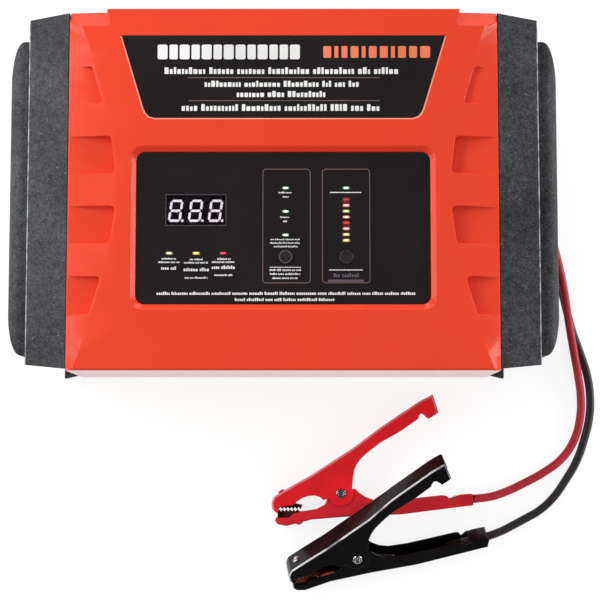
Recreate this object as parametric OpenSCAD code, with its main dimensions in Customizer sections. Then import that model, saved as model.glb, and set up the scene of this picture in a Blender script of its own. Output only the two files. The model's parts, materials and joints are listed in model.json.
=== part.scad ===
// Bench car battery charger lying on its back, panel up, with two spring clamps on short leads.
// Millimetres. X runs across the unit, Y up its panel, Z out of the panel.
// The origin is on the floor, under the middle of the housing.

/* [Housing] */
// Width of the orange housing, seam to seam
housing_w = 274; // [262:1:290]
// Length of the housing along the panel's height
housing_l = 231; // [224:1:246]
// Height of the front face above the floor
front_z = 92; // [90:0.5:98]
// Height of the line where the cover meets the base tray
parting_z = 40; // [37:0.5:44]
// Thickness of the moulded walls
wall = 2.5; // [2:0.1:3]
// Rounding of the long front edges
edge_r = 1.5; // [1:0.5:4]
// Height of the rubber feet
foot_h = 3; // [2:0.5:5]
// Radius of a rubber foot
foot_r = 8; // [6:0.5:10]
// Distance of the feet from the housing's ends
foot_inset = 18; // [14:1:24]

/* [Front shape] */
// Width of the sloping sides at the waist of the level centre
side_w = 34; // [31:0.5:37]
// Width of the sloping sides at the housing's ends
side_end_w = 4.5; // [3:0.5:8]
// Length over which the waisted edge is rounded at the waist
waist_round = 32; // [24:1:40]
// Drop of the sloping sides from the centre to the seam
side_drop = 6.5; // [5:0.5:8]
// Depth of the other side pockets below the front face
pocket_depth = 6.2; // [5:0.1:6.4]
// Depth of the top side pockets below the front face
top_pocket_depth = 3.8; // [2:0.1:5]
// Distance of the pockets' inner ends outside the waisted edge
pocket_inset = 2.7; // [2:0.1:4]
// Length of a side pocket
pocket_l = 23.6; // [20:0.2:28]
// Spacing of the side pockets
pocket_pitch = 44.7; // [40:0.1:48]
// Rounding of the pockets' inner corners
pocket_r = 2.5; // [1:0.5:4]
// Half width of the centre where it reaches the top edge
crest_x = 112.8; // [109:0.1:116]
// Length of the falling corners at the top edge
corner_run = 11; // [8:0.5:14]
// Drop of the falling corners at the top edge, beside the crest
corner_drop = 10; // [6:0.5:11]
// Sideways tilt of the falling corners in degrees
corner_tilt = 6; // [2:0.5:7]

/* [Header plate] */
// Width of the header plate at its top
header_top_w = 205.6; // [196:0.2:208]
// Width of the header plate at its bottom
header_bottom_w = 177; // [160:1:186]
// Height of the header plate
header_h = 51; // [44:0.5:56]
// Distance of the header plate from the housing's top edge
header_margin = 18.3; // [14:0.1:22]
// Thickness of the header plate
header_t = 0.8; // [0.6:0.1:1.2]
// Rounding of the header plate's lower corners
header_r = 6; // [3:0.5:8]

/* [Control panel] */
// Width of the black control panel
panel_w = 186; // [180:1:192]
// Height of the control panel
panel_h = 97; // [92:1:102]
// Middle of the control panel below the housing's middle
panel_y = -25.3; // [-30:0.1:-22]
// Depth of the panel below the front face
panel_depth = 3; // [2:0.5:4]
// Width of the bevel round the panel
panel_bevel = 3.5; // [2:0.5:5]
// Rounding of the panel's corners
panel_r = 5.5; // [3:0.5:8]
// Thickness of the panel plate
panel_t = 1.5; // [1.2:0.1:2]
// Width of the ledge that carries the plate
ledge = 17.5; // [16.5:0.1:17.5]

/* [Display] */
// Width of the three-digit display
display_w = 37.6; // [34:0.2:42]
// Height of the display
display_h = 19; // [17:0.2:21]
// Depth of the display module
display_d = 8; // [7:0.1:8.2]
// Place of the display across the panel
display_x = -55.1; // [-60:0.1:-50]
// Place of the display up the panel
display_y = -14.2; // [-18:0.1:-10]
// Height of a digit
digit_h = 14.2; // [12:0.1:15]
// Width of a digit
digit_w = 8.2; // [7:0.1:9]
// Spacing of the digits
digit_pitch = 12.6; // [12:0.1:13]
// Width of a segment
segment_w = 1.5; // [1:0.1:1.6]
// Dark line between two segments
segment_gap = 0.12; // [0.1:0.01:0.25]
// Slant of the digits in degrees
digit_slant = 8; // [0:1:12]

/* [Lamps] */
// Width of a lamp
lamp_w = 4.6; // [3.6:0.1:5.2]
// Height of a lamp's face
lamp_h = 1.9; // [1.5:0.1:2.4]
// Place of the middle status lamp across the panel
status_x = -54.9; // [-60:0.1:-50]
// Spacing of the status lamps
status_pitch = 17; // [14:0.5:19]
// Place of the status lamps up the panel
status_y = -41.5; // [-46:0.5:-38]
// Place of the mode column across the panel
mode_x = 1.5; // [-2:0.1:6]
// Spacing of the mode lamps
mode_pitch = 15; // [13:0.5:16]
// Place of the gauge column across the panel
gauge_x = 39.8; // [36:0.1:46]
// Spacing of the gauge lamps
gauge_pitch = 3.71; // [3.4:0.01:3.9]
// Number of gauge lamps below the top one, which stands apart
gauge_count = 8; // [6:1:8]
// Top lamp of both columns up the panel
column_y = 0.1; // [-2:0.1:3]

/* [Buttons] */
// Radius of a button
button_r = 4.6; // [4:0.1:5.2]
// Place of the buttons up the panel
button_y = -43.8; // [-47:0.1:-42]
// Height of a button above the plate
button_proud = 0.6; // [0.3:0.1:1.2]
// Radius of the dish in a button's face
button_dish = 30; // [24:1:40]
// Travel of a button
button_travel = 0.7; // [0.5:0.1:0.8]
// Thickness of a button's collar
button_collar = 1.4; // [1:0.1:1.8]

/* [End caps] */
// Reach of an end cap beyond the seam
cap_reach = 27; // [24:0.5:30]
// Drop of the cap's face from the seam to its outer edge
cap_drop = 8; // [5:0.5:10]
// Distance of a cap's ends inside the housing's ends, at the seam
cap_inset = 1.3; // [0.8:0.1:2.5]
// Distance of a cap's ends inside the housing's ends, at its outer edge
cap_taper = 3.8; // [3:0.1:6]
// Further distance inside of a cap's ends at the floor
cap_draft = 4.5; // [3:0.5:6]
// Reach of the side bumper beyond the cap's edge
bumper_reach = 14.3; // [11:0.1:17]
// Half length of the side bumper
bumper_half = 102.4; // [98:0.1:105]
// Middle of the side bumper below the housing's middle
bumper_y = -2.2; // [-3:0.1:0]
// Underside of the side bumper above the floor
bumper_z = 34; // [32:0.5:36]
// Height of the side bumper
bumper_h = 32; // [28:0.5:34]
// Depth of the rounding at the bumper's ends
bumper_end_w = 9.5; // [8:0.5:13]
// Length of the rounding at the bumper's ends
bumper_end_l = 33; // [26:1:38]
// Rounding of the bumper's long edges
bumper_edge_r = 9; // [6:0.5:12]
// Reach of the lead channel's back wall beyond the seam
channel_reach = 13; // [11:0.5:14]
// Height of the sill below the lead channel, above the floor
channel_z = 11; // [9:0.5:12]
// Width of the small corner feet
lug_w = 9; // [7:0.5:11]
// Height of the small corner feet
lug_h = 6; // [4:0.5:8]
// Reach of the small corner feet past the housing
lug_reach = 1.2; // [0.8:0.1:2]

/* [Screws] */
// Radius of the cover screws' shank
screw_r = 1.6; // [1.4:0.1:1.8]
// Radius of the cover screws' head
screw_head_r = 3.4; // [3:0.1:3.8]
// Radius of a screw boss
boss_r = 5.2; // [5:0.1:6]
// Length of a cover screw
screw_l = 40; // [34:1:46]
// Radius of a small screw's shank
small_screw_r = 1.2; // [1:0.1:1.3]
// Radius of a small screw's head
small_head_r = 2.6; // [2.2:0.1:2.8]
// Depth to which a small screw enters its boss
small_screw_l = 5; // [4:0.5:5.5]

/* [Boards] */
// Thickness of a circuit board
board_t = 1.6; // [1.2:0.1:2]
// Width of the panel board
panel_board_w = 166; // [162:1:168]
// Height of the panel board
panel_board_h = 74; // [72:1:76]
// Distance of the main board from the end walls
board_margin = 39.5; // [38:0.5:44]
// Height of the main board
main_board_h = 150; // [140:1:156]
// Place of the main board up the panel
main_board_y = -22; // [-26:1:-18]
// Height of the main board's posts
post_h = 8; // [6:0.5:10]
// Side of a push switch
switch_side = 6; // [5:0.5:7]

/* [Power parts] */
// Size of the transformer's core along X
core_w = 46; // [40:1:50]
// Size of the transformer's core along Y
core_l = 40; // [34:1:44]
// Height of the transformer's core
core_h = 36; // [30:1:40]
// Distance of the core from the main board's edge
core_margin = 22; // [16:1:26]
// Width of the heat sink
sink_w = 34; // [28:1:38]
// Length of the heat sink
sink_l = 110; // [90:1:120]
// Height of the heat sink
sink_h = 38; // [30:1:42]
// Distance of the heat sink from the main board's edge
sink_margin = 10; // [4:1:12]
// Thickness of a heat sink fin
fin_t = 2; // [1.5:0.1:2.5]
// Number of heat sink fins
fin_count = 6; // [4:1:7]
// Width of a power transistor
transistor_w = 10; // [8:0.5:11]
// Height of a power transistor
transistor_h = 19; // [15:0.5:21]
// Thickness of a power transistor
transistor_t = 4.6; // [4:0.1:5]
// Spacing of the power transistors
transistor_pitch = 24; // [20:0.5:28]
// Radius of a filter capacitor
capacitor_r = 11; // [9:0.5:12]
// Height of a filter capacitor
capacitor_h = 36; // [28:1:40]
// Distance of the filter capacitors from the power transistors
capacitor_gap = 9.4; // [4:0.1:12]
// Distance of the filter capacitors' middle from the main board's top edge
capacitor_margin = 23; // [18:1:30]
// Outer radius of the output choke
choke_r = 17; // [14:0.5:19]
// Height of the output choke
choke_h = 14; // [10:0.5:16]

/* [Fan] */
// Side of the fan's frame
fan_side = 60; // [50:1:62]
// Depth of the fan's frame
fan_depth = 15; // [12:0.5:20]
// Place of the fan across the housing
fan_x = -60; // [-80:1:-40]
// Radius of the fan's hub
hub_r = 12; // [10:0.5:14]
// Radius of the fan's shaft
shaft_r = 1.5; // [1:0.1:2]
// Number of blades
blade_count = 7; // [5:1:9]
// Width of a vent slot
slot_w = 3; // [2:0.2:3.6]
// Spacing of the vent slots
slot_pitch = 6; // [5:0.2:7]

/* [Leads] */
// Diameter of a lead
lead_d = 5.6; // [5:0.1:6]
// Place of the leads' bushing up the panel
lead_y = 8; // [6:0.5:10]
// Height of the red lead in its bushing
red_exit_z = 27.5; // [26:0.5:28]
// Height of the black lead in its bushing
black_exit_z = 17.5; // [17:0.5:19]
// Length of the bushing outside the wall
bushing_l = 9; // [6:0.5:10]
// Thickness of the bushing round a lead
bushing_wall = 1.5; // [1.2:0.1:2]
// Diameter of the mains cord that the mains gland takes
mains_d = 7.2; // [6.4:0.1:8]

/* [Clamps] */
// Width of the upper lever over its cheeks
cheek_w = 16; // [15:0.5:18]
// Width of the upper lever's handle
handle_w = 13; // [12:0.5:14]
// Thickness of the lever's sheet steel
sheet = 1.2; // [1:0.1:1.3]
// Thickness of the copper jaws
copper_t = 1; // [0.8:0.1:1.2]
// Radius of the pivot rivet
rivet_r = 2.5; // [2:0.1:3]
// Radius of the pivot rivet's heads
rivet_head_r = 3.4; // [3.2:0.1:4.2]
// Height of the pivot rivet's heads
rivet_head_h = 1.2; // [0.8:0.1:1.4]
// Radius of the upper lever's eye
upper_eye_r = 8.3; // [8:0.1:9.4]
// Radius of the lower lever's eye
lower_eye_r = 7.5; // [7:0.1:8]
// Spacing of the jaws' teeth
tooth_pitch = 2.4; // [2:0.1:3]
// Depth of the jaws' teeth
tooth_depth = 1.5; // [1:0.1:1.8]
// Wire of the clamp spring
spring_d = 1.8; // [1.4:0.1:2]
// Mean radius of the clamp spring
spring_r = 5.2; // [4.6:0.1:5.4]
// Turns of the clamp spring
spring_turns = 3; // [2:1:3]
// Free space between the spring's turns
spring_gap = 0.6; // [0.5:0.1:0.8]
// Radius of a jaw rivet
jaw_rivet_r = 1.5; // [1.2:0.1:1.8]

/* [Clearances] */
// Gap between pieces that only lie beside each other
gap = 0.3; // [0.2:0.05:0.4]
// Gap round a running pin
pin_fit = 0.06; // [0.03:0.01:0.09]
// Gap round a fixed pin or screw
fixed_fit = 0.05; // [0.03:0.01:0.1]
// Gap round a button or a lamp in the panel plate
panel_gap = 0.2; // [0.1:0.05:0.3]

/* [Hidden] */
$fn = 48;
cut = 1;                 // how far a cutting solid runs past the face it opens

orange = [0.93, 0.29, 0.17];
charcoal = [0.24, 0.24, 0.25];
panel_black = [0.12, 0.11, 0.12];
clamp_red = [0.87, 0.11, 0.15];
clamp_black = [0.09, 0.09, 0.10];
copper = [0.62, 0.33, 0.22];
steel = [0.75, 0.76, 0.78];

// ---- heights and half sizes that several pieces share ----
hw = housing_w / 2;
hl = housing_l / 2;
base_z = foot_h;
floor_z = base_z + wall;
seam_z = front_z - side_drop;
header_y = hl - header_margin - header_h / 2;
// the lowest place of the falling corners, at the seam
corner_z = front_z - corner_drop - (hw - crest_x) * tan(corner_tilt);
ceiling_z = min(front_z - pocket_depth, corner_z) - 1.5;
panel_top = front_z - panel_depth;
panel_seat = panel_top - panel_t;
panel_ceiling = panel_seat - wall;
board_top = panel_seat - gap - 0.4 - display_d;
board_bottom = board_top - board_t;
cap_x = hw + cap_reach;
cap_end = hl - cap_taper;
cap_start = hl - cap_inset;
cap_hollow = cap_end - cap_draft - wall; // half length of the hollow inside a cap
cap_edge_z = seam_z - cap_drop;
bumper_x = cap_x + bumper_reach;
channel_x = hw + channel_reach;
main_board_w = housing_w - 2 * (wall + board_margin);
main_board_z = floor_z + post_h;
main_top = main_board_z + board_t;
screw_seat = base_z + 14;        // seat of the cover screws' heads in the base tray
foot_sink = 1;                   // how deep a foot sits in the base
wire_r = lead_d / 2 - 0.4;       // radius of the wires inside the housing
wire_end_x = channel_x - wall - 4; // where the wires meet the leads in the bushing
bushing_r = lead_d / 2 + bushing_wall;
mains_z = (channel_z + bumper_z) / 2;
gland_r = mains_d / 2 + 2.4;

// ---- plane geometry ----
function unit(v) = v / norm(v);

// Points of a corner rounded with radius r between its neighbours a and c
function rounded_corner(a, b, c, r, n) =
  let (u = unit(a - b),
       w = unit(c - b),
       half = acos(u * w) / 2,
       o = b + unit(u + w) * r / sin(half),
       s = b + u * r / tan(half) - o,
       e = b + w * r / tan(half) - o,
       a0 = atan2(s.y, s.x),
       turn = (atan2(e.y, e.x) - a0 + 540) % 360 - 180)
  [for (k = [0:n]) o + r * [cos(a0 + turn * k / n), sin(a0 + turn * k / n)]];

// Outline through the corners p, each rounded with its own radius in r
function rounded(p, r, n = 5) =
  [for (i = [0:len(p) - 1])
    each (r[i] == 0 ? [p[i]]
      : rounded_corner(p[(i + len(p) - 1) % len(p)], p[i], p[(i + 1) % len(p)], r[i], n))];

function rectangle(w, h) = [[-w / 2, -h / 2], [w / 2, -h / 2], [w / 2, h / 2], [-w / 2, h / 2]];

// Straight line through a and b, moved to its left by d and met with the same of b and c
function meet(a, b, c, d) =
  let (u = unit(b - a),
       v = unit(c - b),
       nu = [-u.y, u.x],
       nv = [-v.y, v.x])
  b + unit(nu + nv) * d / cos(acos(min(1, nu * nv)) / 2);

// Place at the share k of the way from a to b, moved to its left by d
function web_point(a, b, k, d) =
  let (u = unit(b - a)) a + (b - a) * k + [-u.y, u.x] * d;

// Extrusion along Y of an outline in X and Z, and along X of one in Y and Z
module along_y(l) rotate([90, 0, 0]) linear_extrude(l, center = true) children();
module along_x(l) rotate([90, 0, 90]) linear_extrude(l, center = true) children();
module both_sides() for (s = [0, 1]) mirror([s, 0, 0]) children();

// ---- tubes: one closed solid swept along points ----
function direction(p, i) =
  i == 0 ? unit(p[1] - p[0])
  : i == len(p) - 1 ? unit(p[i] - p[i - 1])
  : unit(unit(p[i + 1] - p[i]) + unit(p[i] - p[i - 1]));
function ring(c, t, r, n) =
  let (s = unit(cross([0, 0, 1], t)),
       u = cross(t, s))
  [for (k = [0:n - 1]) c + r * (cos(360 * k / n) * s + sin(360 * k / n) * u)];

module tube(path, r, n) {
  last = (len(path) - 1) * n;
  polyhedron(
    points = [for (i = [0:len(path) - 1]) each ring(path[i], direction(path, i), r, n)],
    faces = concat(
      [for (k = [1:n - 2]) [0, k, k + 1]],
      [for (k = [1:n - 2]) [last, last + k + 1, last + k]],
      [for (i = [0:len(path) - 2]) for (k = [0:n - 1])
        [i * n + k, (i + 1) * n + k, (i + 1) * n + (k + 1) % n]],
      [for (i = [0:len(path) - 2]) for (k = [0:n - 1])
        [i * n + k, (i + 1) * n + (k + 1) % n, i * n + (k + 1) % n]]));
}

// ---- places of what repeats ----
pocket_y = [for (i = [0:3]) (1.5 - i) * pocket_pitch - 1];
pocket_depths = [top_pocket_depth, pocket_depth, pocket_depth, pocket_depth];
waist_x = hw - side_w;           // half width of the level centre at its waist
waist_spread = sqrt(pow(side_w - side_end_w + waist_round, 2) - pow(waist_round, 2)) / hl;
function waist_at(y) =
  waist_x - waist_round + sqrt(pow(waist_spread * y, 2) + pow(waist_round, 2));
boss_xy = [for (x = [-1, 1]) for (y = [-1, 1]) [x * (hw - 11), y * (hl - 11)]];
panel_boss_xy = [for (x = [-1, 1]) for (y = [-1, 1])
  [x * (panel_board_w / 2 - 4), panel_y + y * (panel_board_h / 2 - 4)]];
post_xy = [for (x = [-1, 1]) for (y = [-1, 1])
  [x * (main_board_w / 2 - 6), main_board_y + y * (main_board_h / 2 - 6)]];
foot_xy = [for (x = [-1, 1]) for (y = [-1, 1]) [x * (hw - foot_inset - 10), y * (hl - foot_inset - 8)]];
cap_screw_yz = [for (y = [-1, 1]) [y * (bumper_half - 20), (channel_z + bumper_z) / 2]];
status_xy = [for (i = [-1:1]) [status_x + i * status_pitch, status_y]];
mode_xy = [for (i = [0:2]) [mode_x, column_y - i * mode_pitch]];
gauge_xy = concat([[gauge_x, column_y]],
  [for (i = [2:gauge_count + 1]) [gauge_x, column_y - i * gauge_pitch]]);
button_xy = [[mode_x, button_y], [gauge_x, button_y]];

// ---- housing ----
header_outline = rounded(
  [[-header_bottom_w / 2, header_y - header_h / 2], [header_bottom_w / 2, header_y - header_h / 2],
   [header_top_w / 2, header_y + header_h / 2], [-header_top_w / 2, header_y + header_h / 2]],
  [header_r, header_r, 0.8, 0.8]);

module panel_outline(grow) {
  translate([0, panel_y])
    polygon(rounded(rectangle(panel_w + 2 * grow, panel_h + 2 * grow),
      [for (i = [0:3]) panel_r + grow * 0.6]));
}

// Sloping side of the front: a ruled surface from the waisted edge of the level centre to
// the straight seam, cut by one closed loft with a section at each station
slope_steps = 20;
function slope_section(y) =
  let (x = waist_at(y),
       fall = side_drop / (hw - x))
  [[x, y, front_z], [x, y, front_z + cut], [hw + cut, y, front_z + cut], [hw + cut, y, seam_z - cut * fall]];
module side_slope() {
  last = 4 * slope_steps;
  polyhedron(
    points = [for (i = [0:slope_steps]) each slope_section((hl + cut) * (2 * i / slope_steps - 1))],
    faces = concat([[0, 1, 2], [0, 2, 3], [last, last + 2, last + 1], [last, last + 3, last + 2]],
      [for (i = [0:slope_steps - 1]) for (k = [0:3])
        [4 * i + k, 4 * i + 4 + k, 4 * i + (k + 1) % 4]],
      [for (i = [0:slope_steps - 1]) for (k = [0:3])
        [4 * i + 4 + k, 4 * i + 4 + (k + 1) % 4, 4 * i + (k + 1) % 4]]));
}

module side_pocket(y, depth) {
  inner = [for (e = [1, -1]) [waist_at(y + e * pocket_l / 2) + pocket_inset, y + e * pocket_l / 2]];
  translate([0, 0, front_z - depth])
    linear_extrude(depth + cut)
      polygon(rounded([[hw + cut, y - pocket_l / 2], [hw + cut, y + pocket_l / 2], inner[0], inner[1]],
        [0, 0, pocket_r, pocket_r]));
}

// The front falls away at the top edge, outside the crest
module falling_corner() {
  intersection() {
    linear_extrude(front_z + cut)
      polygon([[crest_x - 2.4, hl - corner_run - cut], [hw + cut, hl - corner_run - cut],
        [hw + cut, hl + cut], [crest_x, hl + cut]]);
    translate([crest_x, 0, front_z])
      rotate([0, corner_tilt, 0])
        along_x(housing_w)
          polygon([[hl - corner_run, 0], [hl + cut, -corner_drop * (1 + cut / corner_run)],
            [hl + cut, 2 * corner_drop], [hl - corner_run, 2 * corner_drop]]);
  }
}

module cover_skin() {
  difference() {
    along_x(housing_w)
      polygon(rounded([[-hl, parting_z], [hl, parting_z], [hl, front_z], [-hl, front_z]],
        [0, 0, edge_r, edge_r], 4));
    both_sides() {
      side_slope();
      for (i = [0:3]) side_pocket(pocket_y[i], pocket_depths[i]);
      falling_corner();
    }
  }
}

vent_x = [for (i = [-4:4]) fan_x + i * slot_pitch];
module vents(z0, z1) {
  for (x = vent_x)
    translate([x - slot_w / 2, hl - wall - cut, z0]) cube([slot_w, wall + 2 * cut, z1 - z0]);
}

module front_cover() {
  color(orange)
  difference() {
    union() {
      difference() {
        cover_skin();
        // hollow inside, with a higher ceiling behind the header and behind the panel
        translate([0, 0, (parting_z - cut + ceiling_z) / 2])
          cube([housing_w - 2 * wall, housing_l - 2 * wall, ceiling_z - parting_z + cut], center = true);
        translate([-header_bottom_w / 2, header_y - header_h / 2, ceiling_z - cut])
          cube([header_bottom_w, header_h, front_z - header_t - wall - ceiling_z + cut]);
        translate([0, panel_y, (ceiling_z - cut + panel_ceiling) / 2])
          cube([panel_w, panel_h, panel_ceiling - ceiling_z + cut], center = true);
      }
      for (p = boss_xy)
        translate([p.x, p.y, parting_z]) cylinder(h = ceiling_z + cut - parting_z, r = boss_r);
      for (p = panel_boss_xy)
        translate([p.x, p.y, board_top]) cylinder(h = panel_ceiling + cut - board_top, r = 3.2);
    }
    translate([0, 0, front_z - header_t]) linear_extrude(header_t + cut) polygon(header_outline);
    // bevelled recess, and the opening inside its ledge
    hull() {
      translate([0, 0, panel_top]) linear_extrude(0.01) panel_outline(0);
      translate([0, 0, front_z]) linear_extrude(0.01) panel_outline(panel_bevel);
    }
    translate([0, 0, panel_seat]) linear_extrude(panel_t + cut) panel_outline(0);
    translate([0, panel_y, (panel_ceiling + panel_seat) / 2])
      cube([panel_w - 2 * ledge, panel_h - 2 * ledge, wall + 2 * cut], center = true);
    for (p = boss_xy)
      translate([p.x, p.y, parting_z - cut])
        cylinder(h = screw_l - (parting_z - screw_seat) + 2 * cut, r = screw_r + fixed_fit);
    for (p = panel_boss_xy)
      translate([p.x, p.y, board_top - cut])
        cylinder(h = small_screw_l + 1 + cut, r = small_screw_r + fixed_fit);
    vents(parting_z + 5, parting_z + 27);
  }
}

module base_tray() {
  color(orange)
  difference() {
    union() {
      difference() {
        translate([-hw, -hl, base_z]) cube([housing_w, housing_l, parting_z - base_z]);
        translate([-hw + wall, -hl + wall, floor_z])
          cube([housing_w - 2 * wall, housing_l - 2 * wall, parting_z]);
      }
      for (p = boss_xy)
        translate([p.x, p.y, base_z]) cylinder(h = parting_z - base_z, r = boss_r);
      for (p = post_xy)
        translate([p.x, p.y, base_z]) cylinder(h = main_board_z - base_z, r = 4);
      // two rails that hold the fan's frame
      for (s = [-1, 1])
        translate([fan_x + s * (fan_side / 2 + gap + 1.25) - 1.25, hl - wall - gap - fan_depth, base_z])
          cube([2.5, fan_depth + gap + wall / 2, parting_z - base_z]);
    }
    for (p = boss_xy) {
      translate([p.x, p.y, base_z - cut]) cylinder(h = screw_seat - base_z + cut, r = screw_head_r + gap);
      translate([p.x, p.y, base_z]) cylinder(h = parting_z, r = screw_r + fixed_fit);
    }
    for (p = post_xy)
      translate([p.x, p.y, floor_z + 1]) cylinder(h = post_h + cut, r = small_screw_r + fixed_fit);
    for (p = foot_xy)
      translate([p.x, p.y, base_z - cut]) cylinder(h = cut + foot_sink, r = foot_r + fixed_fit);
    // passages for the output wires and the mains cord, and the cap screws' holes
    for (z = [red_exit_z, black_exit_z]) side_bore(1, lead_y, z, wire_r + gap);
    side_bore(-1, lead_y, mains_z, mains_d / 2 + gap);
    for (s = [-1, 1]) for (p = cap_screw_yz) side_bore(s, p.x, p.y, screw_r + fixed_fit);
    vents(floor_z + 5, parting_z - 4);
  }
}

// A hole through the end wall at y, z
module side_bore(side, y, z, r) {
  translate([side * (hw - wall - cut), y, z])
    rotate([0, side * 90, 0]) cylinder(h = wall + 2 * cut, r = r);
}

module rubber_feet() {
  color([0.1, 0.1, 0.1])
  for (p = foot_xy)
    translate([p.x, p.y, 0]) {
      cylinder(h = base_z + foot_sink, r = foot_r);
      // a slightly wider rim round the foot
      translate([0, 0, 0.8]) cylinder(h = base_z - 0.8, r1 = foot_r, r2 = foot_r + 0.8);
    }
}

module cover_screws() {
  color(steel)
  for (p = boss_xy)
    difference() {
      union() {
        translate([p.x, p.y, screw_seat - 2.4]) cylinder(h = 2.4, r = screw_head_r);
        translate([p.x, p.y, screw_seat - 0.1]) cylinder(h = screw_l + 0.1, r = screw_r);
      }
      translate([p.x, p.y, screw_seat - 3.4]) cross_slot(screw_head_r);
    }
}
module cross_slot(r) {
  for (a = [0, 90])
    rotate(a) translate([-r * 0.6, -r * 0.12, 0]) cube([r * 1.2, r * 0.24, 2]);
}

// ---- end caps ----
module cap_plan(inside)
  polygon([[hw, inside - cap_start], [cap_x, inside - cap_end], [cap_x, cap_end - inside],
    [hw, cap_start - inside]]);

// Block of a cap, whose end walls lean inwards towards the floor
module cap_block() {
  hull() {
    translate([0, 0, seam_z]) linear_extrude(0.01) cap_plan(0);
    linear_extrude(0.01) cap_plan(cap_draft);
  }
}

// Outline of the bumper, seen from above, with long rounded ends
bumper_shoulder = bumper_half - bumper_end_l;
function bumper_end(side) = [for (a = [0:7.5:90])
  [bumper_x - bumper_end_w * (1 - cos(a)), bumper_y + side * (bumper_shoulder + bumper_end_l * sin(a))]];
bumper_outline = concat([[hw, bumper_y - bumper_half]], [for (i = [12:-1:0]) bumper_end(-1)[i]],
  bumper_end(1), [[hw, bumper_y + bumper_half]]);

// Upper part: a tapered face that falls towards the outside, over the side bumper
module cap_body() {
  intersection() {
    cap_block();
    along_y(housing_l + 2 * cut)
      polygon(rounded([[hw, bumper_z], [cap_x, bumper_z], [cap_x, cap_edge_z], [hw, seam_z]],
        [0, 0, 1.5, 0], 4));
  }
  intersection() {
    translate([0, 0, bumper_z])
      linear_extrude(bumper_h) polygon(bumper_outline);
    along_y(housing_l)
      polygon(rounded([[hw, bumper_z], [bumper_x, bumper_z], [bumper_x, bumper_z + bumper_h],
        [hw, bumper_z + bumper_h]], [0, bumper_edge_r * 0.7, bumper_edge_r, 0], 6));
  }
}

// Lower part: the back wall of the lead channel, the sill below it and the corner feet
module cap_foot() {
  intersection() {
    cap_block();
    translate([hw, -hl, base_z]) cube([channel_reach, housing_l, bumper_z + cut - base_z]);
  }
  translate([hw, 0, base_z])
    linear_extrude(channel_z - base_z)
      polygon(rounded([[0, -hl + 8], [cap_reach - 4, -hl + 12], [cap_reach - 4, hl - 12], [0, hl - 8]],
        [0, 8, 8, 0]));
  // wedges that point inwards along the end of the housing
  for (s = [0, 1])
    mirror([0, s, 0])
      translate([channel_x - 2 - lug_w, hl, base_z / 2])
        linear_extrude(lug_h + base_z / 2)
          polygon([[0, -1], [lug_w, lug_reach], [lug_w, -cap_taper - cap_draft], [0, -cap_taper - cap_draft]]);
}

module end_cap() {
  difference() {
    union() {
      difference() {
        union() {
          cap_body();
          cap_foot();
        }
        // hollow behind the face, behind the bumper and behind the channel
        translate([hw - cut, -cap_hollow, base_z + wall])
          cube([channel_reach - wall + cut, 2 * cap_hollow, cap_edge_z - wall - base_z - wall]);
        translate([hw - cut, -cap_hollow, bumper_z + bumper_h])
          cube([cap_reach - wall + cut, 2 * cap_hollow, cap_edge_z - wall - bumper_z - bumper_h]);
        translate([hw - cut, bumper_y - bumper_shoulder, bumper_z + wall])
          cube([cap_reach + bumper_reach - 2 * wall, 2 * bumper_shoulder, bumper_h - bumper_edge_r]);
      }
      for (p = cap_screw_yz)
        translate([hw, p.x, p.y]) rotate([0, 90, 0]) cylinder(h = channel_reach, r = boss_r);
    }
    for (p = cap_screw_yz) {
      translate([hw - cut, p.x, p.y])
        rotate([0, 90, 0]) cylinder(h = channel_reach + 2 * cut, r = screw_r + fixed_fit);
      translate([channel_x - 2.6, p.x, p.y])
        rotate([0, 90, 0]) cylinder(h = 2.6 + cut, r = screw_head_r + gap);
    }
  }
}

module right_end_cap() {
  color(charcoal)
  difference() {
    end_cap();
    for (z = [red_exit_z, black_exit_z])
      translate([channel_x - wall - cut, lead_y, z])
        rotate([0, 90, 0]) cylinder(h = wall + 2 * cut, r = bushing_r + fixed_fit);
  }
}

module left_end_cap() {
  color(charcoal)
  difference() {
    mirror([1, 0, 0]) end_cap();
    translate([-channel_x - cut, lead_y, mains_z])
      rotate([0, 90, 0]) cylinder(h = wall + 2 * cut, r = gland_r + fixed_fit);
  }
}

module cap_screws() {
  color(steel)
  both_sides()
    for (p = cap_screw_yz)
      translate([channel_x - 2.6, p.x, p.y]) rotate([0, 90, 0]) {
        difference() {
          cylinder(h = 2.4, r = screw_head_r);
          translate([0, 0, 1.4]) cross_slot(screw_head_r);
        }
        translate([0, 0, -channel_reach - wall]) cylinder(h = channel_reach + wall + 0.1, r = screw_r);
      }
}

// ---- glands ----
module lead_bushing() {
  color([0.1, 0.1, 0.1])
  difference() {
    union() {
      // flange inside the cap, and one tapered sleeve round each lead
      translate([channel_x - wall - 2, lead_y, (red_exit_z + black_exit_z) / 2])
        cube([4, 2 * bushing_r + 4, red_exit_z - black_exit_z + 2 * bushing_r + 2], center = true);
      for (z = [red_exit_z, black_exit_z])
        translate([channel_x - wall - 2, lead_y, z])
          rotate([0, 90, 0]) {
            cylinder(h = wall + 3, r = bushing_r);
            translate([0, 0, wall + 3]) cylinder(h = bushing_l - 1, r1 = bushing_r, r2 = bushing_r - 0.5);
          }
    }
    for (z = [red_exit_z, black_exit_z])
      translate([channel_x - wall - 5, lead_y, z])
        rotate([0, 90, 0]) cylinder(h = wall + bushing_l + 10, r = lead_d / 2 + fixed_fit);
  }
}

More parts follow.
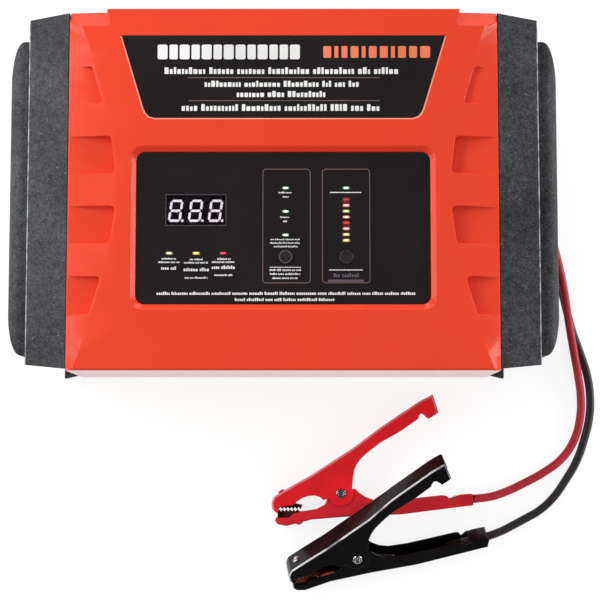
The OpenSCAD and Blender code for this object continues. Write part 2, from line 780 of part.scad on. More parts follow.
module mains_gland() {
  color([0.1, 0.1, 0.1])
  difference() {
    translate([-channel_x - 3, lead_y, mains_z])
      rotate([0, 90, 0]) {
        cylinder(h = 3, r1 = gland_r + 1.2, r2 = gland_r + 2);
        translate([0, 0, 2.9]) cylinder(h = 0.1, r = gland_r + 2);
        cylinder(h = 3 + wall + 4, r = gland_r);
        translate([0, 0, 3 + wall + gap]) cylinder(h = 2.5, r = gland_r + 1.5, $fn = 6);
      }
    translate([-channel_x - 3 - cut, lead_y, mains_z])
      rotate([0, 90, 0]) cylinder(h = wall + 7 + 2 * cut, r = mains_d / 2);
  }
}

// ---- header and control panel ----
module header_plate() {
  color(panel_black)
  translate([0, 0, front_z - header_t]) linear_extrude(header_t) polygon(header_outline);
}

module lamp_cut(p) {
  translate([p.x - lamp_w / 2 - panel_gap, p.y - lamp_h / 2 - panel_gap, panel_seat - cut])
    cube([lamp_w + 2 * panel_gap, lamp_h + 2 * panel_gap, panel_t + 2 * cut]);
}

module panel_plate() {
  color(panel_black)
  difference() {
    translate([0, 0, panel_seat])
      linear_extrude(panel_t)
        translate([0, panel_y])
          polygon(rounded(rectangle(panel_w - 2 * panel_gap, panel_h - 2 * panel_gap),
            [for (i = [0:3]) panel_r]));
    translate([display_x, display_y, panel_seat])
      cube([display_w + 2 * panel_gap, display_h + 2 * panel_gap, 4 * panel_t], center = true);
    for (p = concat(status_xy, mode_xy, gauge_xy)) lamp_cut(p);
    for (p = button_xy)
      translate([p.x, p.y, panel_seat - cut]) cylinder(h = panel_t + 2 * cut, r = button_r + panel_gap);
  }
}

module display_window() {
  color([0.2, 0.18, 0.2, 0.5])
  translate([display_x, display_y, panel_seat + (panel_t - 0.2) / 2])
    cube([display_w, display_h, panel_t - 0.2], center = true);
}

module display_module() {
  color([0.08, 0.08, 0.08])
  translate([display_x - display_w / 2, display_y - display_h / 2, board_top])
    cube([display_w, display_h, display_d]);
}

// Seven segments and a point, as light pieces on the module's face
module digit() {
  w = digit_w;
  h = digit_h;
  s = segment_w;
  e = segment_gap;
  bar = [[s / 2 + e, 0], [s + e, s / 2], [w - s - e, s / 2], [w - s / 2 - e, 0], [w - s - e, -s / 2],
    [s + e, -s / 2]];
  post = [[0, e + s / 2], [s / 2, e + s], [s / 2, h / 2 - s - e], [0, h / 2 - s / 2 - e],
    [-s / 2, h / 2 - s - e], [-s / 2, e + s]];
  for (y = [s / 2, h / 2, h - s / 2]) translate([0, y]) polygon(bar);
  for (x = [s / 2, w - s / 2])
    for (y = [0, h / 2 - s / 4]) translate([x, y + s / 8]) polygon(post);
  translate([w + 1.1, s / 2]) circle(r = s * 0.55, $fn = 16);
}

module display_digits() {
  color([0.95, 0.95, 0.95])
  for (i = [-1:1])
    translate([display_x + i * digit_pitch - digit_w / 2 - 0.4, display_y - digit_h / 2, board_top + display_d])
      linear_extrude(0.25)
        multmatrix([[1, tan(digit_slant), 0, -digit_h * tan(digit_slant) / 2], [0, 1, 0, 0],
          [0, 0, 1, 0], [0, 0, 0, 1]])
          digit();
}

module lamp(p) {
  translate([p.x - lamp_w / 2, p.y - lamp_h / 2, board_top])
    cube([lamp_w, lamp_h, panel_top + 0.2 - board_top]);
}
module status_lamps() color([0.85, 0.9, 0.3]) for (p = status_xy) lamp(p);
module mode_lamps() color([0.85, 1, 0.85]) for (p = mode_xy) lamp(p);
module gauge_lamps() color([0.95, 0.35, 0.2]) for (p = gauge_xy) lamp(p);

collar_z = panel_seat - gap - button_collar;
switch_h = collar_z - button_travel - gap - board_top; // top of a switch's stem above the board
module button(p) {
  color([0.16, 0.15, 0.16])
  translate([p.x, p.y, 0]) {
    difference() {
      translate([0, 0, collar_z]) cylinder(h = panel_top + button_proud - collar_z, r = button_r);
      // shallow dish in the button's face
      translate([0, 0, panel_top + button_proud + button_dish - 0.3]) sphere(r = button_dish, $fn = 120);
    }
    translate([0, 0, collar_z]) cylinder(h = button_collar, r = button_r + 1.3);
    translate([0, 0, collar_z - 0.2]) cylinder(h = 0.3, r = 2);
  }
}
module mode_button() button(button_xy[0]);
module start_button() button(button_xy[1]);

module tact_switches() {
  color([0.2, 0.2, 0.2])
  for (p = button_xy)
    translate([p.x, p.y, board_top]) {
      translate([0, 0, (switch_h - 1) / 2]) cube([switch_side, switch_side, switch_h - 1], center = true);
      cylinder(h = switch_h, r = switch_side * 0.28);
    }
}

module panel_board() {
  color([0.1, 0.35, 0.2])
  difference() {
    translate([0, panel_y, board_bottom + board_t / 2])
      cube([panel_board_w, panel_board_h, board_t], center = true);
    for (p = panel_boss_xy)
      translate([p.x, p.y, board_bottom - cut]) cylinder(h = board_t + 2 * cut, r = small_screw_r + fixed_fit);
  }
}

module panel_screws() {
  color(steel)
  for (p = panel_boss_xy)
    translate([p.x, p.y, board_bottom - 1.6]) {
      cylinder(h = 1.6, r = small_head_r);
      cylinder(h = 1.6 + board_t + small_screw_l, r = small_screw_r);
    }
}

// ---- power parts on the main board ----
module main_board() {
  color([0.1, 0.35, 0.2])
  difference() {
    translate([0, main_board_y, main_board_z + board_t / 2])
      cube([main_board_w, main_board_h, board_t], center = true);
    for (p = post_xy)
      translate([p.x, p.y, main_board_z - cut]) cylinder(h = board_t + 2 * cut, r = small_screw_r + fixed_fit);
  }
}

module board_screws() {
  color(steel)
  for (p = post_xy)
    translate([p.x, p.y, main_board_z - small_screw_l]) {
      cylinder(h = board_t + small_screw_l, r = small_screw_r);
      translate([0, 0, board_t + small_screw_l]) cylinder(h = 1.8, r = small_head_r);
    }
}

core_at = [core_margin + (core_w - main_board_w) / 2, main_board_y - core_l / 2];
core_leg = core_w / 4;
module transformer_core() {
  color([0.3, 0.3, 0.32])
  translate([core_at.x, core_at.y, main_top])
    difference() {
      translate([0, 0, core_h / 2]) cube([core_w, core_l / 2, core_h], center = true);
      for (s = [-1, 1])
        translate([s * core_leg, 0, core_h / 2])
          cube([core_leg * 0.9, core_l, core_h - core_leg], center = true);
    }
}
module transformer_winding() {
  color([0.75, 0.6, 0.2])
  translate([core_at.x, core_at.y, main_top + core_leg / 2 + gap])
    difference() {
      linear_extrude(core_h - core_leg - 2 * gap)
        polygon(rounded(rectangle(core_leg * 2.9 - 2 * gap, core_l), [for (i = [0:3]) 5]));
      translate([0, 0, -cut])
        linear_extrude(core_h)
          square([core_leg * 1.1 + 2 * gap, core_l / 2 + 2 * gap], center = true);
    }
}

sink_at = [(main_board_w - sink_w) / 2 - sink_margin, main_board_y + 6];
module heat_sink() {
  color([0.7, 0.72, 0.74])
  translate([sink_at.x - sink_w / 2, sink_at.y - sink_l / 2, main_top]) {
    cube([4, sink_l, sink_h]);
    for (i = [0:fin_count - 1])
      translate([0, 0, i * (sink_h - fin_t) / (fin_count - 1)]) cube([sink_w, sink_l, fin_t]);
  }
}
module power_transistors() {
  color([0.12, 0.12, 0.12])
  for (i = [-1:2])
    translate([sink_at.x - sink_w / 2 - transistor_t - fixed_fit,
        sink_at.y + (i - 0.5) * transistor_pitch - transistor_w / 2, main_top])
      cube([transistor_t, transistor_w, transistor_h]);
}

capacitor_end = sink_at.x - sink_w / 2 - transistor_t - capacitor_gap; // right end of their row
module filter_capacitors() {
  color([0.15, 0.2, 0.4])
  for (i = [0:2])
    translate([capacitor_end - capacitor_r - i * (2 * capacitor_r + 2),
        main_board_y + main_board_h / 2 - capacitor_margin, main_top])
      difference() {
        cylinder(h = capacitor_h, r = capacitor_r);
        translate([0, 0, 3])
          difference() {
            cylinder(h = 1.6, r = capacitor_r + cut);
            translate([0, 0, -cut]) cylinder(h = 4, r = capacitor_r - 0.8);
          }
      }
}

module output_choke() {
  color([0.65, 0.4, 0.2])
  translate([8, main_board_y - 22, main_top])
    difference() {
      cylinder(h = choke_h, r = choke_r);
      translate([0, 0, -cut]) cylinder(h = choke_h + 2 * cut, r = choke_r * 0.45);
    }
}

terminal_x = hw - wall - 18;
module output_terminals() {
  color([0.2, 0.25, 0.2])
  for (z = [red_exit_z, black_exit_z])
    translate([terminal_x - 12, lead_y - 5, z - 4.2])
      difference() {
        cube([12, 10, 8.4]);
        translate([4, 5, 5]) cylinder(h = 5, r = 2);
      }
  color([0.2, 0.25, 0.2])
  translate([terminal_x - 12, lead_y - 5, floor_z]) cube([12, 10, black_exit_z - 4.2 - floor_z]);
}

// Wires from the terminals through the end wall to the bushing
module output_wires() {
  for (z = [red_exit_z, black_exit_z])
    color(z == red_exit_z ? [0.7, 0.1, 0.12] : [0.1, 0.1, 0.1])
      translate([terminal_x, lead_y, z])
        rotate([0, 90, 0]) cylinder(h = wire_end_x - terminal_x, r = wire_r, $fn = 24);
}

// ---- fan ----
fan_z = floor_z + gap + fan_side / 2;
fan_y = hl - wall - gap - fan_depth / 2;
module fan_place() translate([fan_x, fan_y, fan_z]) rotate([90, 0, 0]) children();
module fan_frame() {
  color([0.1, 0.1, 0.1])
  fan_place()
    difference() {
      union() {
        difference() {
          cube([fan_side, fan_side, fan_depth], center = true);
          cylinder(h = fan_depth + 2 * cut, r = fan_side / 2 - 1.5, center = true);
          for (x = [-1, 1]) for (y = [-1, 1])
            translate([x * (fan_side / 2 - 4.5), y * (fan_side / 2 - 4.5), 0])
              cylinder(h = fan_depth + 2 * cut, r = 2, center = true);
        }
        translate([0, 0, -fan_depth / 2]) cylinder(h = 2, r = hub_r);
        for (a = [45:90:315])
          rotate(a) translate([hub_r - 1, -1.5, -fan_depth / 2]) cube([fan_side / 2 - hub_r, 3, 2]);
        translate([0, 0, -fan_depth / 2]) cylinder(h = fan_depth * 0.6, r = shaft_r + 1.5);
      }
      translate([0, 0, -fan_depth / 2 - cut]) cylinder(h = fan_depth, r = shaft_r + pin_fit);
    }
}
module fan_rotor() {
  color([0.16, 0.16, 0.16])
  fan_place() {
    difference() {
      translate([0, 0, -fan_depth / 2 + 2 + gap]) cylinder(h = fan_depth - 3 - gap, r = hub_r);
      translate([0, 0, -fan_depth / 2 + cut])
        cylinder(h = fan_depth * 0.6 - cut + gap, r = shaft_r + 1.5 + gap);
    }
    translate([0, 0, -fan_depth / 2 + 0.5]) cylinder(h = fan_depth - 2.5, r = shaft_r);
    for (i = [0:blade_count - 1])
      rotate(i * 360 / blade_count)
        intersection() {
          translate([hub_r - 1, 0, 1])
            rotate([35, 0, 0]) cube([2 * (fan_side / 2 - hub_r), 1.2, fan_depth - 5], center = true);
          cylinder(h = fan_depth - 4, r = fan_side / 2 - 2.5, center = true);
          translate([hub_r - 2, -fan_side / 2, -fan_depth / 2]) cube([fan_side, fan_side, fan_depth]);
        }
  }
}

// ---- clamps: the pivot is the local origin, x runs to the lead, z along the pivot ----
lower_w = cheek_w - 2 * sheet - 0.4;
handle_in = handle_w / 2 - sheet;
lower_in = lower_w / 2 - sheet;
mouth_y = -10.6;
// The upper lever's cheeks: lip over the jaws, nose, folded edge up to the handle's end
upper_nose = [[-40.6, -8.8], [-42.6, -13.2], [-45.6, -10.4], [-46.4, -6.4], [-44.6, -2.2], [-34.6, 3.8],
  [-19.3, 12.4], [9.4, 31], [27, 44.2], [53, 61.4], [61.6, 65.8]];
// then the hook and its round notch, and the curved underside of the handle down to the eye
upper_heel = [[65.4, 53.6], [59.2, 49.6], [57, 51.8], [55.2, 53.2], [53.6, 53], [52.6, 51.6], [51.8, 49.4],
  [40, 41.2], [27, 33.9], [19.4, 28.3], [13.4, 23], [10.4, 18.8], [8.8, 15], [8.1, 10.6]];
upper_throat = [[-11.8, -4.4], [-14, -2.4], [-17.5, -1.5], [-21.5, -1.7], [-25.5, -3], [-29.2, -5.4],
  [-31.4, -7.6]];
upper_last = len(upper_nose) - 1;
upper_web = concat(
  [for (i = [3:upper_last - 1]) meet(upper_nose[i - 1], upper_nose[i], upper_nose[i + 1], -sheet)],
  [web_point(upper_nose[upper_last - 1], upper_nose[upper_last], 2, -sheet)]);
// The lower lever: nose, folded edge along the floor to the end of the crimp, the crimp's
// tabs behind a notch, and the hollow back up to the eye
lower_edge = [[-43.2, -16.2], [-44, -18], [-42.2, -20.6], [-36, -21.6], [-19.3, -17.4], [8.6, -15.1],
  [40, -14], [88, -8]];
lower_back = [[88.6, -0.8], [86.6, -0.2], [80, -0.7], [77, -1.5], [74.6, -3.2], [72.6, -4.6], [70.8, -1.7],
  [68.2, -1.4], [50, -3.3], [36, -4.6], [23, -4.6], [17, -2.7], [12.6, 0.2], [9.6, 3]];
lower_throat = [[-10.5, -7.6], [-16, -10.6], [-22, -11.6], [-27, -12.2], [-31.4, -13.2], [-34.4, -16]];
lower_web = [for (i = [1:6]) meet(lower_edge[i - 1], lower_edge[i], lower_edge[i + 1], sheet)];

// Round edge of an eye about the pivot, from angle a0 to a1
function eye(r, a0, a1) = [for (k = [0:14]) let (a = a0 + (a1 - a0) * k / 14) r * [cos(a), sin(a)]];
upper_outline = concat(upper_nose, upper_heel, eye(upper_eye_r, 24, -155), upper_throat);
lower_outline = concat(lower_edge, lower_back, eye(lower_eye_r, 20, 186), lower_throat);
lever_span = 2 * norm(upper_nose[upper_last]); // longer than a lever is high

// The cheeks narrow to the handle between these places, seen from above
narrow_from = 10;
narrow_to = 24;
function narrowing(w, n) = [[-60, -w], [narrow_from, -w], [narrow_to, -n], [90, -n],
  [90, n], [narrow_to, n], [narrow_from, w], [-60, w]];

module upper_lever() {
  difference() {
    intersection() {
      linear_extrude(cheek_w, center = true) polygon(upper_outline);
      along_y(lever_span) polygon(narrowing(cheek_w / 2, handle_w / 2));
    }
    intersection() {
      linear_extrude(cheek_w, center = true)
        polygon(concat([[-60, -30], [-60, -9.2]], [upper_web[0] + [0.2, -3]], upper_web,
          [[80, 40], [60, -30]]));
      along_y(lever_span) polygon(narrowing(cheek_w / 2 - sheet, handle_in));
    }
    cylinder(h = cheek_w + 2 * cut, r = rivet_r + pin_fit, center = true);
    jaw_rivet_place(upper_nose[4], upper_nose[5], -1)
      cylinder(h = 8, r = jaw_rivet_r + fixed_fit, center = true);
  }
}

// Place on the web of the lower handle at x, raised by d off its outer face
function on_handle(x, d) =
  web_point(lower_edge[6], lower_edge[7], (x - lower_edge[6].x) / (lower_edge[7].x - lower_edge[6].x), d);
tab_from = 75.4;                 // where the tabs over the lead start
function tab_under(x) = on_handle(x, sheet + lead_d + 3 * fixed_fit);
lug_from = 58;                   // where the lug's tongue lies along the handle
crimp_l = 14;                    // from the tongue's middle to the lead's end
lead_out = 32;                   // from the tongue's middle to where the lead may bend
tongue_t = 1.2;
lug_slope = atan2(lower_edge[7].y - lower_edge[6].y, lower_edge[7].x - lower_edge[6].x);
lug_seat = on_handle(lug_from, sheet + fixed_fit);
function lug_at(d) = lug_seat + d * [cos(lug_slope), sin(lug_slope)]
  + lead_d / 2 * [-sin(lug_slope), cos(lug_slope)];

module lower_lever() {
  difference() {
    linear_extrude(lower_w, center = true) polygon(lower_outline);
    difference() {
      linear_extrude(2 * lower_in, center = true)
        polygon(concat([[-60, -13.4]], [lower_web[0] + [-0.3, 2.6]], lower_web,
          [on_handle(94, sheet), [94, 20], [-60, 20]]));
      // tabs folded over the lead at the end of the handle
      linear_extrude(2 * lower_in, center = true)
        polygon([tab_under(tab_from), [tab_from, 3], [90, 3], tab_under(90)]);
    }
    cylinder(h = lower_w + 2 * cut, r = rivet_r + fixed_fit, center = true);
    jaw_rivet_place(lower_edge[3], lower_edge[4], 1)
      cylinder(h = 8, r = jaw_rivet_r + fixed_fit, center = true);
  }
}

// Middle of a stretch of web, with z square to it
module jaw_rivet_place(a, b, side) {
  m = (a + b) / 2;
  translate([m.x, m.y, 0])
    rotate([0, 0, atan2(b.y - a.y, b.x - a.x)])
      rotate([-90 * side, 0, 0])
        children();
}

// Toothed edge from x0 to x1 whose tips reach height y, pointing down for side = -1
function teeth(x0, x1, y, side) =
  let (n = floor((x1 - x0) / tooth_pitch))
  [for (i = [0:n - 1]) each
    [[x0 + i * tooth_pitch, y - side * tooth_depth], [x0 + (i + 0.5) * tooth_pitch, y]]];

// Copper jaws: strips bent to a channel, seated on the webs, with teeth along both flanges
jaw_x0 = -42.5;
jaw_x1 = -25.5;
bite_gap = 0.25;                 // gap between the closed rows of teeth
jaw_off = sheet + fixed_fit;
function upper_base(d) = [web_point(upper_nose[4], upper_nose[5], 0.12, -d),
  meet(upper_nose[4], upper_nose[5], upper_nose[6], -d),
  web_point(upper_nose[5], upper_nose[6], 0.5, -d)];
function lower_base(d) = [web_point(lower_edge[3], lower_edge[4], 0.04, d),
  meet(lower_edge[3], lower_edge[4], lower_edge[5], d),
  web_point(lower_edge[4], lower_edge[5], 0.45, d)];
upper_teeth = teeth(jaw_x0, jaw_x1, mouth_y + bite_gap / 2, -1);
lower_teeth = teeth(jaw_x0 + 0.2, jaw_x1, mouth_y - bite_gap / 2, 1);
function reversed(p) = [for (i = [len(p) - 1:-1:0]) p[i]];

// A channel w wide with the outline of its flanges, hollow below or above its base
module channel_strip(w, outline, hollow) {
  difference() {
    linear_extrude(w, center = true) polygon(outline);
    linear_extrude(w - 2 * copper_t, center = true) polygon(hollow);
  }
}
module upper_jaw() {
  under = upper_base(jaw_off + copper_t);
  difference() {
    channel_strip(cheek_w - 2 * jaw_off,
      concat(upper_base(jaw_off), [[-28, 0.4], [-31, -6.6], [jaw_x1, -7.8]], reversed(upper_teeth),
        [[jaw_x0 - 0.4, -7]]),
      concat([under[0] - [6, 5]], under, [under[2] + [6, 3], [-10, -20], [-60, -20]]));
    jaw_rivet_place(upper_nose[4], upper_nose[5], -1)
      cylinder(h = 8, r = jaw_rivet_r + fixed_fit, center = true);
  }
}
module lower_jaw() {
  over = lower_base(jaw_off + copper_t);
  difference() {
    channel_strip(2 * (lower_in - fixed_fit),
      concat(lower_teeth, [[jaw_x1, -13.4]], reversed(lower_base(jaw_off)), [[jaw_x0 + 0.4, -16]]),
      concat([over[0] + [-8, 2]], over, [over[2] + [6, 1], [-10, 0], [-60, 0]]));
    jaw_rivet_place(lower_edge[3], lower_edge[4], 1)
      cylinder(h = 8, r = jaw_rivet_r + fixed_fit, center = true);
  }
}

// Rivet through the web and the copper strip
module jaw_rivet() {
  translate([0, 0, -1.1]) cylinder(h = 1.1 + sheet + copper_t + 0.9, r = jaw_rivet_r);
  translate([0, 0, -1]) cylinder(h = 1 - gap / 6, r1 = jaw_rivet_r + 0.6, r2 = jaw_rivet_r + 1.2);
  translate([0, 0, sheet + copper_t + 0.15]) cylinder(h = 0.8, r = jaw_rivet_r + 0.9);
}
module upper_jaw_rivet() jaw_rivet_place(upper_nose[4], upper_nose[5], -1) jaw_rivet();
module lower_jaw_rivet() jaw_rivet_place(lower_edge[3], lower_edge[4], 1) jaw_rivet();

module pivot_rivet() {
  h = cheek_w / 2 + fixed_fit;
  cylinder(h = 2 * h + 0.2, r = rivet_r, center = true);
  for (s = [0, 1])
    mirror([0, 0, s])
      translate([0, 0, h])
        difference() {
          cylinder(h = rivet_head_h, r1 = rivet_head_r, r2 = rivet_head_r - 0.5);
          translate([0, 0, rivet_head_h - 1]) cylinder(h = 1 + cut, r = rivet_r - 0.7);
        }
}

// Torsion spring: its coil lies round the pivot and its legs press on both webs
function tangent_angle(p, side) = atan2(p.y, p.x) + side * acos(spring_r / norm(p));
leg_gap = sheet + spring_d / 2 + gap;
upper_leg = web_point(upper_nose[7], upper_nose[8], 0.65, -leg_gap);
lower_leg = web_point(lower_edge[5], lower_edge[6], 0.6, leg_gap);
spring_pitch = spring_d + spring_gap;
spring_from = tangent_angle(lower_leg, -1);
spring_to = tangent_angle(upper_leg, 1) + 360 * spring_turns;
spring_steps = ceil((spring_to - spring_from) / 45);
spring_rise = spring_pitch * (spring_to - spring_from) / 360;
spring_path = concat(
  [[lower_leg.x, lower_leg.y, -spring_rise / 2]],
  [for (i = [0:spring_steps])
    let (a = spring_from + (spring_to - spring_from) * i / spring_steps)
    [spring_r * cos(a), spring_r * sin(a), spring_rise * (i / spring_steps - 0.5)]],
  [[upper_leg.x, upper_leg.y, spring_rise / 2]]);
spring_least = min([for (i = [1:len(spring_path) - 2]) for (j = [i + 5:1:len(spring_path) - 2])
  norm(spring_path[i] - spring_path[j])]) - spring_d;
echo(spring_least_gap_to_itself = spring_least);
module spring() tube(spring_path, spring_d / 2, 6);

// Crimp lug inside the handle, which the lead meets end to end
module lead_lug() {
  translate([lug_seat.x, lug_seat.y, 0])
    rotate([0, 0, lug_slope]) {
      translate([0, tongue_t / 2, 0]) cube([crimp_l - 2, tongue_t, lead_d + 1.4], center = true);
      translate([crimp_l / 2 - 3, lead_d / 2, 0])
        rotate([0, 90, 0]) cylinder(h = crimp_l / 2 + 3, r = lead_d / 2);
    }
}

// ---- where the clamps lie ----
// The red one lies flat; the black one leans over its handle, rolled about its lower edge
red_at = [37.8, -193.4, cheek_w / 2 + rivet_head_h + fixed_fit];
black_at = [12.6, -250.3, 0];
black_plan = 12.8;
black_roll = 36.7;
rest_a = lower_edge[3];
rest_b = lower_edge[6];
rest_slope = atan2(rest_b.y - rest_a.y, rest_b.x - rest_a.x);
module place_red() translate(red_at) children();
module place_black()
  translate(black_at)
    rotate([0, 0, black_plan])
      rotate([black_roll, 0, 0])
        rotate([0, 0, -rest_slope])
          translate([-rest_a.x, -rest_a.y, lower_w / 2])
            children();
function turn_z(p, a) = [p.x * cos(a) - p.y * sin(a), p.x * sin(a) + p.y * cos(a), p.z];
function turn_x(p, a) = [p.x, p.y * cos(a) - p.z * sin(a), p.y * sin(a) + p.z * cos(a)];
function black_point(p) =
  black_at + turn_z(turn_x(turn_z(p - [rest_a.x, rest_a.y, -lower_w / 2], -rest_slope), black_roll),
    black_plan);
red_end = [for (d = [lead_out, crimp_l]) red_at + [lug_at(d).x, lug_at(d).y, 0]];
black_end = [for (d = [lead_out, crimp_l]) black_point([lug_at(d).x, lug_at(d).y, 0])];

// ---- leads, along hand-set points, straight at both ends ----
red_path = [[wire_end_x, lead_y, red_exit_z], [160.5, lead_y, red_exit_z], [165.5, 6.4, 27.5],
  [170, 2, 27.3], [173.6, -5, 27], [176.8, -15, 26.4], [180, -27, 25], [184.5, -43, 21.5],
  [188, -58, 17.5], [190.5, -72, 14], [193, -86, 11], [195.5, -99, 8.4], [198.5, -114, 5],
  [200.5, -129, 3], [199.8, -143, 2.8], [195.5, -158, 2.8], [187, -170.4, 2.8], [175.5, -179.2, 2.8],
  [161, -187, 3.6], [149, -192.4, 5.6], [138.5, -195.7, 8], red_end[0], red_end[1]];
black_path = [[wire_end_x, lead_y, black_exit_z], [160.5, lead_y, black_exit_z], [165.5, 6.4, 17.3],
  [170, 2, 16.7], [173.6, -5, 15.8], [176.8, -15, 14.4], [180, -27, 12.4], [184.5, -43, 9.2],
  [188.5, -58, 6.2], [192, -72, 4.2], [196, -86, 2.8], [200.5, -99, 2.8], [205, -114, 2.8],
  [206.8, -129, 2.8], [206, -143, 2.8], [202.4, -157.5, 2.8], [197, -172, 2.8], [189, -185.5, 2.8],
  [180.5, -197, 2.8], [171, -205.4, 2.8], [162.4, -210.2, 3.6], [153.4, -214.8, 5.4],
  [145, -218.8, 7.2], black_end[0], black_end[1]];
module red_lead() color(clamp_red) tube(red_path, lead_d / 2, 10);
module black_lead() color(clamp_black) tube(black_path, lead_d / 2, 10);

module red_upper_lever() color(clamp_red) place_red() upper_lever();
module red_lower_lever() color(clamp_red) place_red() lower_lever();
module red_upper_jaw() color(copper) place_red() upper_jaw();
module red_lower_jaw() color(copper) place_red() lower_jaw();
module red_pivot_rivet() color(steel) place_red() pivot_rivet();
module red_upper_jaw_rivet() color(steel) place_red() upper_jaw_rivet();
module red_lower_jaw_rivet() color(steel) place_red() lower_jaw_rivet();
module red_spring() color(steel) place_red() spring();
module red_lead_lug() color(copper) place_red() lead_lug();
module black_upper_lever() color(clamp_black) place_black() upper_lever();
module black_lower_lever() color(clamp_black) place_black() lower_lever();
module black_upper_jaw() color(copper) place_black() upper_jaw();
module black_lower_jaw() color(copper) place_black() lower_jaw();
module black_pivot_rivet() color(steel) place_black() pivot_rivet();
module black_upper_jaw_rivet() color(steel) place_black() upper_jaw_rivet();
module black_lower_jaw_rivet() color(steel) place_black() lower_jaw_rivet();
module black_spring() color(steel) place_black() spring();
module black_lead_lug() color(copper) place_black() lead_lug();

front_cover();
base_tray();
left_end_cap();
right_end_cap();
header_plate();
panel_plate();
display_window();
display_module();
display_digits();
status_lamps();
mode_lamps();
gauge_lamps();
mode_button();
start_button();
panel_board();
tact_switches();
panel_screws();
main_board();
board_screws();
transformer_core();
transformer_winding();
heat_sink();
power_transistors();
filter_capacitors();
output_choke();
output_terminals();
output_wires();
fan_frame();
fan_rotor();
cover_screws();
cap_screws();
rubber_feet();
lead_bushing();
mains_gland();
red_lead();
black_lead();
red_upper_lever();
red_lower_lever();
red_upper_jaw();
red_lower_jaw();
red_pivot_rivet();
red_upper_jaw_rivet();
red_lower_jaw_rivet();
red_spring();
red_lead_lug();
black_upper_lever();
black_lower_lever();
black_upper_jaw();
black_lower_jaw();
black_pivot_rivet();
black_upper_jaw_rivet();
black_lower_jaw_rivet();
black_spring();
black_lead_lug();
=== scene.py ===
import json
import math
import random

import bmesh
import bpy
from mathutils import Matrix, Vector

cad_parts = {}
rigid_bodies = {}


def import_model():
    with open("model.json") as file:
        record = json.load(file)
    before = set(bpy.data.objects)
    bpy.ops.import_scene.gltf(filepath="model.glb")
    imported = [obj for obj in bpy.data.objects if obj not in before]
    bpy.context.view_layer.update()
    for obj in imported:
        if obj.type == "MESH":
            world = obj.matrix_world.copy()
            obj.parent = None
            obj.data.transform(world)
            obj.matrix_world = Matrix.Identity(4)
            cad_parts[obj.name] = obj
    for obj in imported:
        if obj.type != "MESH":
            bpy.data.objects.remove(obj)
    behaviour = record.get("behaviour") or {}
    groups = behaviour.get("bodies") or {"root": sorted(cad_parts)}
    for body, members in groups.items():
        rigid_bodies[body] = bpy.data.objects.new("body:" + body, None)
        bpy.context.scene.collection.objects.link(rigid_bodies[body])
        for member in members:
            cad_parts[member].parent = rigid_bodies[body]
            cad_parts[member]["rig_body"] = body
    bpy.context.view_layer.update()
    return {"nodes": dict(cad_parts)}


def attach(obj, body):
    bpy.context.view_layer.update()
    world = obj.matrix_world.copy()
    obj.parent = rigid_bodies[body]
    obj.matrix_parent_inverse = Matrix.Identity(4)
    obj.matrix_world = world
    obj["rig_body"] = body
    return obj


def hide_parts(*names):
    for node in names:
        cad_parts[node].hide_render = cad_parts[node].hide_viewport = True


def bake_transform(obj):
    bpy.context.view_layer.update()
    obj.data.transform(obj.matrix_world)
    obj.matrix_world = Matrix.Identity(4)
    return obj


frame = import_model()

MM = 0.001
WELD = 2e-6                 # corners of a mesh closer than this are one, in metres
NODES = frame["nodes"]
SCENE = bpy.context.scene


def mm(*values):
    return tuple(v * MM for v in values)


# ---------------------------------------------------------------- camera
CAMERA_AT = mm(10.6, -170.2, 1137.3)
CAMERA_TILT = 5.4           # degrees from straight down
CAMERA_LENS = 100.5
CAMERA_SENSOR = 36


def make_camera():
    data = bpy.data.cameras.new("camera")
    data.lens = CAMERA_LENS
    data.sensor_width = CAMERA_SENSOR
    camera = bpy.data.objects.new("camera", data)
    camera.location = CAMERA_AT
    camera.rotation_euler = (math.radians(CAMERA_TILT), 0, 0)
    SCENE.collection.objects.link(camera)
    SCENE.camera = camera


# ---------------------------------------------------------------- node helpers
def srgb(r, g, b):
    """Linear colour of an sRGB one given from 0 to 255."""
    def lin(v):
        v /= 255
        return v / 12.92 if v <= 0.04045 else ((v + 0.055) / 1.055) ** 2.4
    return (lin(r), lin(g), lin(b), 1)


def feed(links, value, socket):
    """Links the output of another node to a socket, or sets a plain value on it."""
    if isinstance(value, bpy.types.NodeSocket):
        links.new(value, socket)
    else:
        socket.default_value = value


